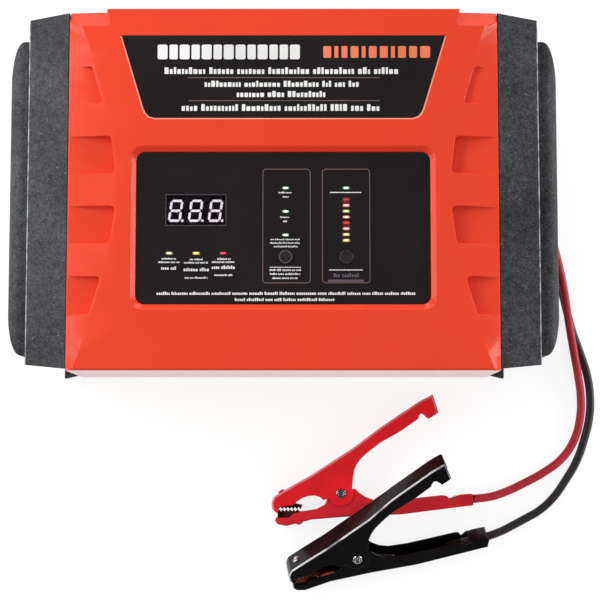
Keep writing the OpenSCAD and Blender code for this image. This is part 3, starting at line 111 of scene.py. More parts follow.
class Look:
    """A material under construction: a Principled shader and short ways to feed it."""

    def __init__(self, name, **values):
        self.material = bpy.data.materials.new(name)
        self.material.use_nodes = True
        self.nodes = self.material.node_tree.nodes
        self.links = self.material.node_tree.links
        self.shader = self.nodes["Principled BSDF"]
        self.coords = self.nodes.new("ShaderNodeTexCoord")
        for key, value in values.items():
            self.shader.inputs[key.replace("_", " ")].default_value = value

    def link(self, a, b):
        self.links.new(a, b)

    def noise(self, scale, detail=3, rough=0.55, stretch=None):
        n = self.nodes.new("ShaderNodeTexNoise")
        n.inputs["Scale"].default_value = scale
        n.inputs["Detail"].default_value = detail
        n.inputs["Roughness"].default_value = rough
        source = self.coords.outputs["Object"]
        if stretch:
            m = self.nodes.new("ShaderNodeMapping")
            m.inputs["Scale"].default_value = stretch
            self.link(source, m.inputs["Vector"])
            source = m.outputs["Vector"]
        self.link(source, n.inputs["Vector"])
        return n.outputs["Fac"]

    def ramp(self, source, *stops):
        """Colours or greys over a source from 0 to 1, each stop a place and what it has there."""
        n = self.nodes.new("ShaderNodeValToRGB")
        elements = n.color_ramp.elements
        while len(elements) < len(stops):
            elements.new(0.5)
        for e, (place, colour) in zip(elements, stops):
            e.position = place
            e.color = colour if hasattr(colour, "__len__") else (colour, colour, colour, 1)
        self.link(source, n.inputs["Fac"])
        return n.outputs["Color"]

    def mix(self, factor, a, b, mode="MIX"):
        n = self.nodes.new("ShaderNodeMix")
        n.data_type = "RGBA"
        n.blend_type = mode
        for key, value in (("Factor", factor), ("A", a), ("B", b)):
            feed(self.links, value, n.inputs[key])
        return n.outputs["Result"]

    def maths(self, operation, *values):
        n = self.nodes.new("ShaderNodeMath")
        n.operation = operation
        for socket, value in zip(n.inputs, values):
            feed(self.links, value, socket)
        return n.outputs[0]

    def colour(self, source):
        self.link(source, self.shader.inputs["Base Color"])
        return self

    def roughness(self, source, low, high):
        n = self.nodes.new("ShaderNodeMapRange")
        n.inputs["To Min"].default_value = low
        n.inputs["To Max"].default_value = high
        self.link(source, n.inputs["Value"])
        self.link(n.outputs["Result"], self.shader.inputs["Roughness"])
        return self

    def bump(self, source, strength, distance):
        n = self.nodes.new("ShaderNodeBump")
        n.inputs["Strength"].default_value = strength
        n.inputs["Distance"].default_value = distance
        self.link(source, n.inputs["Height"])
        if self.shader.inputs["Normal"].is_linked:
            before = self.shader.inputs["Normal"].links[0].from_socket
            self.link(before, n.inputs["Normal"])
        self.link(n.outputs["Normal"], self.shader.inputs["Normal"])
        return self


def shade(colour, by):
    """The colour made darker or lighter by a factor."""
    return tuple(min(1, c * by) for c in colour[:3]) + (1,)


# ---------------------------------------------------------------- materials
def moulded(name, colour, rough=(0.3, 0.42), grain=1500, depth=0.00003, spread=0.08,
            specular=0.4, walls=None):
    """Moulded plastic: fine spark-eroded grain, faint clouds of colour, small changes in gloss.

    walls is the roughness of the upright faces, which are smoother, because grain there would
    catch in the mould.
    """
    look = Look(name, Specular_IOR_Level=specular)
    clouds = look.noise(14, 4)
    fine = look.noise(grain, 2, 0.7)
    base = look.ramp(clouds, (0.3, shade(colour, 1 - spread)), (0.7, shade(colour, 1 + spread)))
    pits = look.ramp(fine, (0.35, shade(colour, 0.8)), (0.65, shade(colour, 1.2)))
    look.colour(look.mix(0.12, base, pits))
    look.roughness(look.noise(60, 3), *rough)
    if walls:
        upright = look.nodes.new("ShaderNodeSeparateXYZ")
        geometry = look.nodes.new("ShaderNodeNewGeometry")
        look.link(geometry.outputs["Normal"], upright.inputs["Vector"])
        level = look.ramp(look.maths("ABSOLUTE", upright.outputs["Z"]), (0.72, 0), (0.93, 1))
        smooth = look.nodes.new("ShaderNodeMix")
        smooth.inputs["A"].default_value = walls
        look.link(level, smooth.inputs["Factor"])
        look.link(look.shader.inputs["Roughness"].links[0].from_socket, smooth.inputs["B"])
        look.link(smooth.outputs["Result"], look.shader.inputs["Roughness"])
    return look.bump(fine, 0.35, depth)


EDGE_X = 163.7              # where the caps' outer edge lies to each side
EDGE_Z = 76.4               # above what height it gets a painted highlight
EDGE_HIGHLIGHT_HALF = 0.55             # half the width of the painted highlight
# colour of that painted highlight
EDGE_HIGHLIGHT_COLOUR = srgb(206, 208, 214)


def speckled(name, dark, light, speck, scale):
    """Coarse dark grey moulding with scattered light specks, and a painted highlight along the
    caps' outer edge.
    """
    look = Look(name, Specular_IOR_Level=0.2)
    grain = look.noise(scale, 3, 0.6)
    blotches = look.noise(scale * 0.32, 3, 0.6)
    clouds = look.noise(16, 2)
    body = look.mix(look.ramp(blotches, (0.32, 0), (0.7, 1)), dark, light)
    pits = look.ramp(grain, (0.35, shade(dark, 0.6)), (0.7, shade(light, 1.2)))
    body = look.mix(0.55, body, pits)
    body = look.mix(1, body, look.ramp(clouds, (0.32, 0.62), (0.66, 1.18)), "MULTIPLY")
    specks = look.noise(scale * 2.2, 1, 0.5)
    body = look.mix(look.ramp(specks, (0.74, 0), (0.78, 1)), body, speck)
    # painted highlight along the outer edge of the caps, broken up by noise
    axes = look.nodes.new("ShaderNodeSeparateXYZ")
    look.link(look.coords.outputs["Object"], axes.inputs["Vector"])
    side = look.maths("ABSOLUTE", axes.outputs["X"])
    edge = look.maths("COMPARE", side, EDGE_X * MM, EDGE_HIGHLIGHT_HALF * MM)
    high = look.maths("GREATER_THAN", axes.outputs["Z"], EDGE_Z * MM)
    highlight_noise = look.ramp(look.noise(210, 3), (0.36, 0.16), (0.6, 0.7))
    painted_highlight = look.maths("MULTIPLY", look.maths("MULTIPLY", edge, high), highlight_noise)
    look.colour(look.mix(painted_highlight, body, EDGE_HIGHLIGHT_COLOUR))
    look.roughness(grain, 0.42, 0.6)
    return look.bump(grain, 0.5, 0.00006)


def label(name, colour, specular=0.2):
    """Printed polycarbonate label: smooth, with a very fine matt texture. It also serves the pink
    painted highlight round the header.
    """
    look = Look(name, Specular_IOR_Level=specular)
    fine = look.noise(2600, 2, 0.6)
    tint = look.noise(22, 3)
    look.colour(look.ramp(tint, (0.35, colour), (0.7, shade(colour, 1.25))))
    look.roughness(look.noise(120, 3), 0.24, 0.32)
    return look.bump(fine, 0.2, 0.00001)


def metal(name, colour, rough=(0.18, 0.36), brush=(1, 1, 1), tarnish=None):
    """Bare metal with brushed scratches and patches of tarnish."""
    look = Look(name, Metallic=1.0)
    scratches = look.noise(900, 4, 0.7, stretch=brush)
    patches = look.noise(160, 4)
    base = look.mix(look.ramp(scratches, (0.35, 0), (0.7, 1)), shade(colour, 0.82), colour)
    if tarnish:
        base = look.mix(look.ramp(patches, (0.42, 0), (0.62, 1)), base, tarnish)
    look.colour(base)
    look.roughness(patches, *rough)
    return look.bump(scratches, 0.15, 0.00002)


def painted(name, colour, worn, rough, coat, paint_between_highlights=None, specular=0.25):
    """Glossy dip paint on folded sheet steel, a little thin and rippled.

    When a colour is given for the paint between streaks, the look is a painted highlight along a
    fold
    instead: colour and worn are then the highlight's, and that paint shows between its long
    streaks.
    """
    look = Look(name, Coat_Weight=coat, Coat_Roughness=0.06, Coat_IOR=1.5,
                Specular_IOR_Level=specular)
    clouds = look.noise(50, 4)
    fine = look.noise(1200, 2)
    base = look.ramp(clouds, (0.3, shade(colour, 0.8)), (0.72, shade(colour, 1.1)))
    scuffs = look.noise(420, 5, 0.8, stretch=(1, 3, 1))
    base = look.mix(look.ramp(scuffs, (0.7, 0), (0.8, 0.5)), base, worn)
    # painted highlight: it shows in long streaks over the given paint
    if paint_between_highlights:
        base = look.mix(look.ramp(look.noise(38, 2), (0.3, 0), (0.46, 1)), paint_between_highlights, base)
    look.colour(base)
    look.roughness(look.noise(180, 3), *rough)
    look.bump(look.noise(260, 2), 0.1, 0.00006)
    return look.bump(fine, 0.1, 0.00001)


def rubber(name, colour, rough=(0.5, 0.68), grain=900, sheen=0.0):
    """Matt rubber or soft cable sheath with a fine grain."""
    look = Look(name, Specular_IOR_Level=0.35, Sheen_Weight=sheen)
    fine = look.noise(grain, 3, 0.6)
    clouds = look.noise(40, 3)
    look.colour(look.ramp(clouds, (0.3, shade(colour, 0.85)), (0.7, shade(colour, 1.2))))
    look.roughness(fine, *rough)
    return look.bump(fine, 0.3, 0.00004)


def lit(name, rim, core, strength, fill=0.22):
    """A lamp's lens: a bright core, as wide as fill, that falls off to the colour of its rim.
    On the pink, lime and cream gauge lenses that core is a painted glint.
    """
    look = Look(name, Roughness=0.25, Emission_Strength=strength)
    place = look.nodes.new("ShaderNodeMapping")
    place.inputs["Location"].default_value = (-0.5, -0.5, 0)
    place.inputs["Scale"].default_value = (1, 1, 0)
    look.link(look.coords.outputs["Generated"], place.inputs["Vector"])
    length = look.nodes.new("ShaderNodeVectorMath")
    length.operation = "LENGTH"
    look.link(place.outputs["Vector"], length.inputs[0])
    glow = look.ramp(length.outputs["Value"], (fill, core), (0.46, rim))
    dots = look.noise(1800, 2)
    glow = look.mix(look.ramp(dots, (0.35, 0), (0.7, 0.35)), glow, rim)
    look.colour(glow)
    look.link(glow, look.shader.inputs["Emission Color"])
    return look.bump(dots, 0.1, 0.00002)


ORANGE = srgb(233, 66, 36)
LOOKS = {
    "orange_housing": moulded("orange_housing", ORANGE, (0.36, 0.42), depth=0.00001, spread=0.04,
                              specular=0.25, walls=0.1),
    "charcoal_end_cap": speckled("charcoal_end_cap", srgb(38, 39, 43), srgb(86, 87, 91),
                                 srgb(200, 202, 208), 700),
    "panel_black": label("panel_black", srgb(33, 29, 30)),
    "display_black": label("display_black", srgb(18, 17, 19)),
    "button_black": label("button_black", srgb(44, 38, 42), 0.4),
    "circuit_board": moulded("circuit_board", srgb(22, 84, 48), (0.3, 0.5), 700, 0.00002, 0.12),
    "switch_black": moulded("switch_black", srgb(36, 36, 38)),
    "screw_steel": metal("screw_steel", srgb(196, 198, 202)),
    "core_iron": metal("core_iron", srgb(92, 92, 96), (0.5, 0.7), (1, 1, 8),
                       srgb(70, 60, 54)),
    "winding_tape": moulded("winding_tape", srgb(206, 170, 60), (0.35, 0.5), 500, 0.00005, 0.1),
    "sink_aluminium": metal("sink_aluminium", srgb(188, 190, 194), (0.3, 0.5), (1, 12, 1)),
    "transistor_black": moulded("transistor_black", srgb(30, 30, 32), (0.4, 0.6), 1200),
    "capacitor_sleeve": moulded("capacitor_sleeve", srgb(38, 50, 104), (0.25, 0.4), 500),
    "choke_copper": metal("choke_copper", srgb(190, 116, 66), (0.3, 0.5), (1, 1, 12)),
    "terminal_green": moulded("terminal_green", srgb(46, 74, 52)),
    "wire_insulation": rubber("wire_insulation", srgb(150, 30, 34), (0.35, 0.5)),
    "fan_black": moulded("fan_black", srgb(28, 28, 30), (0.35, 0.5), 900),
    "foot_rubber": rubber("foot_rubber", srgb(28, 28, 29)),
    "bushing_rubber": rubber("bushing_rubber", srgb(24, 24, 25)),
    "lead_red": rubber("lead_red", srgb(186, 38, 56), (0.32, 0.46), 700, 0.1),
    "lead_black": rubber("lead_black", srgb(44, 41, 45), (0.32, 0.46), 700, 0.1),
    "clamp_red": painted("clamp_red", srgb(248, 32, 44), srgb(190, 26, 34), (0.14, 0.22), 0.8),
    # painted shade: a darker copy of the red paint, for the lower levers
    "clamp_red_shaded": painted("clamp_red_shaded", srgb(226, 38, 50), srgb(176, 28, 38),
                             (0.16, 0.26), 0.8),
    "clamp_black": painted("clamp_black", srgb(18, 16, 19), srgb(44, 40, 44), (0.18, 0.28), 0.2,
                           specular=0.18),
    "jaw_copper": metal("jaw_copper", srgb(188, 108, 80), (0.22, 0.38),
                        tarnish=srgb(84, 38, 28)),
    "lug_copper": metal("lug_copper", srgb(84, 50, 40), (0.4, 0.55), tarnish=srgb(40, 26, 22)),
    "rivet_steel": metal("rivet_steel", srgb(214, 214, 218), (0.12, 0.3)),
    "spring_steel": metal("spring_steel", srgb(170, 172, 178), (0.2, 0.35)),
    "seam_shadow": moulded("seam_shadow", srgb(58, 18, 16), (0.5, 0.6), 900),
    # painted highlights along the clamps' folds, white on the black levers and pink on the red
    # ones
    "fold_black": painted("fold_black", srgb(222, 221, 226), srgb(120, 118, 124), (0.2, 0.3), 0.6,
                          paint_between_highlights=srgb(30, 28, 31)),
    "fold_red": painted("fold_red", srgb(255, 142, 152), srgb(240, 70, 84), (0.2, 0.3), 0.6,
                        paint_between_highlights=srgb(236, 36, 46)),
    "print_white": label("print_white", srgb(222, 222, 220), 0.3),
    "print_orange": label("print_orange", srgb(226, 120, 84), 0.3),
    "print_brown": label("print_brown", srgb(112, 92, 88), 0.3),
    "print_dim": label("print_dim", srgb(62, 54, 58), 0.3),
    "print_red": label("print_red", srgb(104, 30, 34), 0.3),
    # painted highlight: the pink band round the header, where the recess's edge catches light
    "edge_highlight_pink": label("edge_highlight_pink", srgb(255, 150, 128), 0.3),
    "print_purple": label("print_purple", srgb(92, 82, 92), 0.3),
}


def smoked_glass():
    """The display's tinted window."""
    look = Look("smoked_window", Transmission_Weight=1.0, Roughness=0.01, IOR=1.15,
                Specular_IOR_Level=0.3)
    tint = look.noise(30, 2)
    look.colour(look.ramp(tint, (0.3, srgb(186, 178, 186)), (0.7, srgb(196, 188, 196))))
    return look.bump(look.noise(900, 2), 0.05, 0.00001)


def digit_light():
    """The lit segments behind the window."""
    look = Look("display_white", Roughness=0.4, Emission_Strength=1.15)
    glow = look.ramp(look.noise(700, 2), (0.3, srgb(238, 240, 240)), (0.7, srgb(255, 255, 255)))
    look.colour(glow)
    look.link(glow, look.shader.inputs["Emission Color"])
    return look


LOOKS["smoked_window"] = smoked_glass()
LOOKS["display_white"] = digit_light()
LAMP_LOOKS = {
    "white_green": lit("lamp_white_green", srgb(34, 84, 46), srgb(255, 255, 250), 0.85),
    "white_yellow": lit("lamp_white_yellow", srgb(84, 84, 30), srgb(255, 255, 225), 0.85),
    "yellow": lit("lamp_yellow", srgb(110, 106, 16), srgb(255, 252, 140), 0.85),
    "red": lit("lamp_red", srgb(110, 16, 40), srgb(228, 80, 104), 0.5),
    "dim_red": lit("lamp_dim_red", srgb(104, 34, 38), srgb(166, 70, 76), 0.3, fill=0.3),
    "hot_red": lit("lamp_hot_red", srgb(130, 34, 24), srgb(212, 72, 54), 0.4, fill=0.3),
    # painted glints: the glowing near-white cores of these gauge lenses
    "pink": lit("lamp_pink", srgb(150, 62, 56), srgb(255, 226, 216), 0.7),
    "lime": lit("lamp_lime", srgb(96, 112, 36), srgb(236, 246, 176), 0.7),
    "cream": lit("lamp_cream", srgb(132, 104, 34), srgb(255, 246, 190), 0.75),
}


def paint(obj, look):
    """Gives the object one material in all its slots."""
    if not obj.data.materials:
        obj.data.materials.append(look.material)
    for slot in obj.material_slots:
        slot.material = look.material


# ---------------------------------------------------------------- mesh helpers
FLAT_ANGLE = 0.6            # degrees by which one flat face's parts may differ
BEVEL_ANGLE = 30            # degrees from which an edge is rounded
FOLD_BREADTH = 2.2          # a face narrower than this is the rim of a bent sheet
MOST_CORNERS = 8            # of a face that the bevel takes whole
EVEN_SHADING = 90           # weight of the large faces in the corners' normals
# how far a face with a painted highlight has turned from the sheet's widest side, as the cosines'
# limits
HIGHLIGHT_TURN = {"fold_black": (0.4, 0.93), "fold_red": (0.4, 0.995)}


def add_piece(name, mesh, body, slot, look=None, smooth=True):
    obj = bpy.data.objects.new(name, mesh)
    SCENE.collection.objects.link(obj)
    for polygon in mesh.polygons:
        polygon.use_smooth = smooth
    paint(obj, look or LOOKS[slot])
    if body:
        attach(obj, body)
    return obj


def finished(obj):
    """Applies the object's modifiers to its mesh."""
    graph = bpy.context.evaluated_depsgraph_get()
    mesh = bpy.data.meshes.new_from_object(obj.evaluated_get(graph))
    obj.modifiers.clear()
    obj.data = mesh


def weigh_folds(bm, rim):
    """Gives the outer folds of bent sheet the full bevel, and the sheet's rims the share rim."""
    layer = bm.edges.layers.float.new("bevel_weight_edge")

    def breadth(face):
        return face.calc_area() / max(e.calc_length() for e in face.edges)
    for e in bm.edges:
        if len(e.link_faces) == 2 and e.calc_face_angle(0) > math.radians(BEVEL_ANGLE):
            narrow = min(breadth(face) for face in e.link_faces)
            e[layer] = 1 if e.is_convex and narrow > FOLD_BREADTH * MM else rim


def paint_fold_highlights(mesh, width, turned):
    """Gives the rounded folds' faces that have turned within the limits the second material, a
    painted highlight along each fold.
    """
    side = max(mesh.polygons, key=lambda polygon: polygon.area).normal.copy()
    points = mesh.vertices
    for polygon in mesh.polygons:
        longest = max((points[a].co - points[b].co).length for a, b in polygon.edge_keys)
        fold = (width * MM / 8 < polygon.area / longest < width * MM
                and turned[0] < abs(polygon.normal.dot(side)) < turned[1])
        polygon.material_index = 1 if fold else 0


def bevelled(node, slot, width, segments=3, rim=None, painted_highlight=None, look=None):
    """A copy of the node's mesh with rounded edges, which replaces the node.

    rim is given for bent sheet, as the share of the rounding that its rims get. The argument after
    it names the look of its folds, a painted highlight, and look is that of the rest where the
    slot's own doesn't serve.
    """
    source = NODES[node]
    mesh = source.data.copy()
    bm = bmesh.new()
    bm.from_mesh(mesh)
    bmesh.ops.remove_doubles(bm, verts=bm.verts, dist=WELD)
    bmesh.ops.dissolve_limit(bm, angle_limit=math.radians(FLAT_ANGLE), verts=bm.verts,
                             edges=bm.edges)
    # a face with holes in it is split up, because the bevel tears it
    if not rim:
        large = [face for face in bm.faces if len(face.verts) > MOST_CORNERS]
        bmesh.ops.triangulate(bm, faces=large, ngon_method="BEAUTY")
    bmesh.ops.recalc_face_normals(bm, faces=bm.faces)
    if rim:
        weigh_folds(bm, rim)
    bm.to_mesh(mesh)
    bm.free()
    mesh.materials.clear()
    normals = mesh.attributes.get("custom_normal")
    if normals:
        mesh.attributes.remove(normals)
    piece = add_piece(node + "_shell", mesh, source["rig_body"], slot, LOOKS[look or slot])
    bevel = piece.modifiers.new("bevel", "BEVEL")
    bevel.width = width * MM
    bevel.segments = segments
    bevel.limit_method = "WEIGHT" if rim else "ANGLE"
    bevel.angle_limit = math.radians(BEVEL_ANGLE)
    bevel.use_clamp_overlap = False
    bevel.miter_outer = "MITER_ARC" if segments > 2 else "MITER_SHARP"
    if painted_highlight:
        mesh.materials.append(LOOKS[painted_highlight].material)
    shading = piece.modifiers.new("shading", "WEIGHTED_NORMAL")
    shading.weight = EVEN_SHADING
    finished(piece)
    if painted_highlight:
        paint_fold_highlights(piece.data, width, HIGHLIGHT_TURN[painted_highlight])
    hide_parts(node)


def slab(bm, outline, z0, z1):
    """A closed slab between two heights, in millimetres, with the outline given anticlockwise."""
    low = [bm.verts.new(mm(x, y, z0)) for x, y in outline]
    high = [bm.verts.new(mm(x, y, z1)) for x, y in outline]
    bm.faces.new(high)
    bm.faces.new(low[::-1])
    for i in range(len(outline)):
        j = (i + 1) % len(outline)
        bm.faces.new([low[i], low[j], high[j], high[i]])


def band(bm, outer, inner, z0, z1):
    """A closed ring between two outlines of the same number of points."""
    rings = [[bm.verts.new(mm(x, y, z)) for x, y in line] for line, z in
             ((outer, z0), (outer, z1), (inner, z1), (inner, z0))]
    n = len(outer)
    for a in range(4):
        b = (a + 1) % 4
        for i in range(n):
            j = (i + 1) % n
            bm.faces.new([rings[a][i], rings[a][j], rings[b][j], rings[b][i]])


def round_box(x0, y0, x1, y1, r, n):
    """Outline of a rectangle, anticlockwise, whose corners are rounded in n steps."""
    r = min(r, (x1 - x0) / 2, (y1 - y0) / 2)
    points = []
    for cx, cy, a0 in ((x1 - r, y0 + r, -90), (x1 - r, y1 - r, 0),
                       (x0 + r, y1 - r, 90), (x0 + r, y0 + r, 180)):
        for k in range(n + 1):
            a = math.radians(a0 + 90 * k / n)
            points.append((cx + r * math.cos(a), cy + r * math.sin(a)))
    return points


def made(name, build, body, slot, look, smooth=False):
    """A piece whose mesh is what build draws."""
    bm = bmesh.new()
    build(bm)
    bmesh.ops.recalc_face_normals(bm, faces=bm.faces)
    mesh = bpy.data.meshes.new(name)
    bm.to_mesh(mesh)
    bm.free()
    return add_piece(name, mesh, body, slot, look, smooth)


# ---------------------------------------------------------------- leads
LEAD_D = 5.6
# the source's routes, from inside the bushing to the lug
RED_ROUTE = [
    (143.5, 8, 27.5), (160.5, 8, 27.5), (165.5, 6.4, 27.5), (170, 2, 27.3), (173.6, -5, 27),
    (176.8, -15, 26.4), (180, -27, 25), (184.5, -43, 21.5), (188, -58, 17.5), (190.5, -72, 14),
    (193, -86, 11), (195.5, -99, 8.4), (198.5, -114, 5), (200.5, -129, 3), (199.8, -143, 2.8),
    (195.5, -158, 2.8), (187, -170.4, 2.8), (175.5, -179.2, 2.8), (161, -187, 3.6),
    (149, -192.4, 5.6), (138.5, -195.7, 8), (127.05, -197.16, 9.25), (109.19, -199.4, 9.25)]
BLACK_ROUTE = [
    (143.5, 8, 17.5), (160.5, 8, 17.5), (165.5, 6.4, 17.3), (170, 2, 16.7), (173.6, -5, 15.8),
    (176.8, -15, 14.4), (180, -27, 12.4), (184.5, -43, 9.2), (188.5, -58, 6.2), (192, -72, 4.2),
    (196, -86, 2.8), (200.5, -99, 2.8), (205, -114, 2.8), (206.8, -129, 2.8), (206, -143, 2.8),
    (202.4, -157.5, 2.8), (197, -172, 2.8), (189, -185.5, 2.8), (180.5, -197, 2.8),
    (171, -205.4, 2.8), (162.4, -210.2, 3.6), (153.4, -214.8, 5.4), (145, -218.8, 7.2),
    (135.8, -222.01, 8.45), (118.33, -226.34, 8.19)]


def make_lead(colour, route):
    data = bpy.data.curves.new(colour + "_lead_cord", "CURVE")
    data.dimensions = "3D"
    data.resolution_u = 6
    data.bevel_depth = LEAD_D / 2 * MM
    data.bevel_resolution = 5
    data.use_fill_caps = True
    spline = data.splines.new("BEZIER")
    spline.bezier_points.add(len(route) - 1)
    for point, at in zip(spline.bezier_points, route):
        point.co = mm(*at)
        point.handle_left_type = point.handle_right_type = "AUTO"
    lead = bpy.data.objects.new(colour + "_lead_cord", data)
    SCENE.collection.objects.link(lead)
    data.materials.append(LOOKS["lead_" + colour].material)
    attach(lead, "unit")
    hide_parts(colour + "_lead")


# ---------------------------------------------------------------- housing
# node, material slot, width of the rounding and its segments
SHELLS = (("front_cover", "orange_housing", 0.5, 3), ("base_tray", "orange_housing", 0.4, 2),
          ("left_end_cap", "charcoal_end_cap", 0.7, 3),
          ("right_end_cap", "charcoal_end_cap", 0.7, 3),
          ("header_plate", "panel_black", 0.15, 2), ("panel_plate", "panel_black", 0.15, 2),
          ("mode_button", "button_black", 0.35, 3), ("start_button", "button_black", 0.35, 3),
          ("rubber_feet", "foot_rubber", 0.5, 3), ("lead_bushing", "bushing_rubber", 0.4, 3),
          ("mains_gland", "bushing_rubber", 0.4, 3))
# dark line between the front and each end cap
SEAM_X = 137.0
SEAM_HALF = 0.32
SEAM_END = 113.6
SEAM_LOW, SEAM_HIGH = 84.2, 85.45


def make_housing():
    for shell in SHELLS:
        bevelled(*shell)
    for x, name in ((-SEAM_X, "left_seam"), (SEAM_X, "right_seam")):
        def build(bm, x=x):
            line = round_box(x - SEAM_HALF, -SEAM_END, x + SEAM_HALF, SEAM_END, 0.2, 1)
            slab(bm, line, SEAM_LOW, SEAM_HIGH)
        made(name, build, "unit", "charcoal_end_cap", LOOKS["seam_shadow"])


# ---------------------------------------------------------------- lamps
# places on the panel, across and up
STATUS_X, STATUS_Y, STATUS_PITCH = -71.9, -41.5, 17
MODE_X, GAUGE_X, COLUMN_Y = 1.5, 39.8, 0.1
MODE_PITCH, GAUGE_PITCH = 15, 3.71
BUTTON_Y = -43.8

LAMP_FOOT = 84
LAMP_TOP = 89.2
LAMP_W, LAMP_H = 4.6, 1.9
# a lens's sides and dome: how far in, and how high
LAMP_STEPS = ((0, LAMP_FOOT), (0, LAMP_TOP - 0.25), (0.12, LAMP_TOP - 0.08), (0.35, LAMP_TOP),
              (0.6, LAMP_TOP + 0.05))
# from the top down, with no lens at the second place; the near-white cores of the pink, lime and
# cream lenses are painted glints
GAUGE_LAMPS = ("white_green", None, "dim_red", "pink", "lime", "pink", "hot_red", "pink",
               "cream", "cream")


def make_lamp(name, node, slot, x, y, look):
    """A lens with rounded corners and a slightly domed face."""
    def build(bm):
        rings = []
        for inset, z in LAMP_STEPS:
            w, h = LAMP_W / 2 - inset, LAMP_H / 2 - inset
            corner = 0.5 - inset * 0.5 if inset < 0.5 else 0.2
            outline = round_box(x - w, y - h, x + w, y + h, corner, 4)
            rings.append([bm.verts.new(mm(px, py, z)) for px, py in outline])
        for low, high in zip(rings, rings[1:]):
            for i in range(len(low)):
                j = (i + 1) % len(low)
                bm.faces.new([low[i], low[j], high[j], high[i]])
        bm.faces.new(rings[-1])
        bm.faces.new(rings[0][::-1])
    lens = made(name, build, "unit", slot, LAMP_LOOKS[look], smooth=True)
    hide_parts(node)


def make_lamps():
    for i, look in enumerate(("white_yellow", "yellow", "red")):
        slot = "lamp_red" if look == "red" else "lamp_yellow_green"
        make_lamp(f"status_lamp_{i}", "status_lamps", slot, STATUS_X + STATUS_PITCH * i,
                  STATUS_Y, look)
    for i in range(3):
        make_lamp(f"mode_lamp_{i}", "mode_lamps", "lamp_pale_green", MODE_X,
                  COLUMN_Y - MODE_PITCH * i, "white_green")
    for i, look in enumerate(GAUGE_LAMPS):
        if look:
            make_lamp(f"gauge_lamp_{i}", "gauge_lamps", "lamp_red", GAUGE_X,
                      COLUMN_Y - GAUGE_PITCH * i, look)


# ---------------------------------------------------------------- printing
PLATE_Z = 89.0
INK = 0.05                  # how far a print stands over its plate, and reaches into it
HEADER_Z = 92.0
HEADER_TOP = 97.2
HEADER_H = 52.8
HEADER_TOP_W = 102.8        # half widths of the printed sheet at its top and bottom
HEADER_LOW_W = 87.8
# its rounded lower corner: how far out, what share of a growth it takes, and how far up
HEADER_CORNER = ((-6, 0, 0), (-2.6, 0.7, 1.1), (-0.3, 1, 3.6), (1, 1, 6.6))
SHEET_T = 0.06
RING_OUTER, RING_INNER = 4.0, 3.5
RING_LOW, RING_HIGH = 89.45, 89.64
# a printed line's blocks, in shares of its height, and how many make a group
BLOCK_W = (0.3, 0.62)
BLOCK_H = (0.68, 0.72, 0.76, 1)
BLOCK_GAP, GROUP_GAP = 0.17, 0.42
GROUP_BLOCKS = (3, 11)
SMALL_PRINT = 1.35          # the panel's blocks are this much higher than its lines

# plain lines in place of the panel's small print: x0, x1, middle y and height of each
PANEL_PRINT = (
    (-76.7, -67.6, -44.9, 0.9), (-78.7, -65.2, -47.1, 0.9), (-76.9, -67.5, -50.9, 1.6),
    (-58.9, -50.3, -45.3, 0.9), (-62.5, -47.1, -47.4, 0.9), (-62.7, -46.8, -51.8, 1.6),
    (-62, -47.6, -57, 0.9), (-41.5, -32.7, -45.1, 0.9), (-45, -30.5, -47, 0.9),
    (-45, -30.5, -50.4, 1.6), (-43.4, -31.6, -55.3, 0.9), (-3, 5.4, -2.8, 0.8),
    (-0.4, 3.5, -5.6, 0.7), (-1.8, 3.9, -18.5, 0.8), (-0.1, 2.6, -21.2, 0.8),
    (-8, 10.4, -32.7, 0.7), (-8.3, 10.4, -34.9, 0.8), (-6, 9.2, -37.2, 0.8),
    (-8.7, 11.4, -52.1, 0.9), (-8.3, 11.2, -54.6, 0.9), (-6.8, 9.2, -57.2, 0.9))
# the same on the header, with the seed of its blocks
HEADER_PRINT = ((-75.4, 75.4, 74.9, 4.3, 11), (-49.9, 49.8, 66.4, 3.9, 12),
                (-29.5, 29.4, 59.8, 3.9, 13), (-64.4, 64.3, 51.1, 4.3, 14))
# widths of the header's large blocks, as shares of their row
WHITE_BLOCKS = (6, 5, 6, 5, 6, 5, 6, 6, 5, 6, 5, 5, 6)
ORANGE_BLOCKS = (4, 2, 3, 4, 2, 4, 4, 2, 4, 4, 5)


def bars(name, look, rows, z=PLATE_Z):
    """Plain printed bars, each as x0, x1, middle y and height."""
    def build(bm):
        for x0, x1, y, h in rows:
            corner = min(h, x1 - x0) * 0.12
            slab(bm, round_box(x0, y - h / 2, x1, y + h / 2, corner, 1), z - INK, z + INK)
    made(name, build, "unit", "panel_black", LOOKS[look])


def frames(name, look, rows, line):
    """Thin rounded frames on the panel, each as x0, y0, x1, y1 and corner radius."""
    def build(bm):
        for x0, y0, x1, y1, r in rows:
            outer = round_box(x0, y0, x1, y1, r, 8)
            inner = round_box(x0 + line, y0 + line, x1 - line, y1 - line, max(0.05, r - line), 8)
            band(bm, outer, inner, PLATE_Z - INK, PLATE_Z + INK)
    made(name, build, "unit", "panel_black", LOOKS[look])


def circle(x, y, r, n=48):
    turns = [2 * math.pi * k / n for k in range(n)]
    return [(x + r * math.cos(a), y + r * math.sin(a)) for a in turns]


def words(x0, x1, y, h, seed):
    """A printed line from x0 to x1 as groups of plain blocks, narrow and of uneven height."""
    draw = random.Random(seed)
    rows, x = [], x0
    last = x1 - h * BLOCK_W[0]
    while x < last:
        for _ in range(draw.randint(*GROUP_BLOCKS)):
            end = min(x1, x + h * draw.uniform(*BLOCK_W))
            tall = h * draw.choice(BLOCK_H)
            rows.append((x, end, y + (tall - h) / 2, tall))
            x = end + h * BLOCK_GAP
            if x > last:
                break
        x += h * GROUP_GAP
    return rows


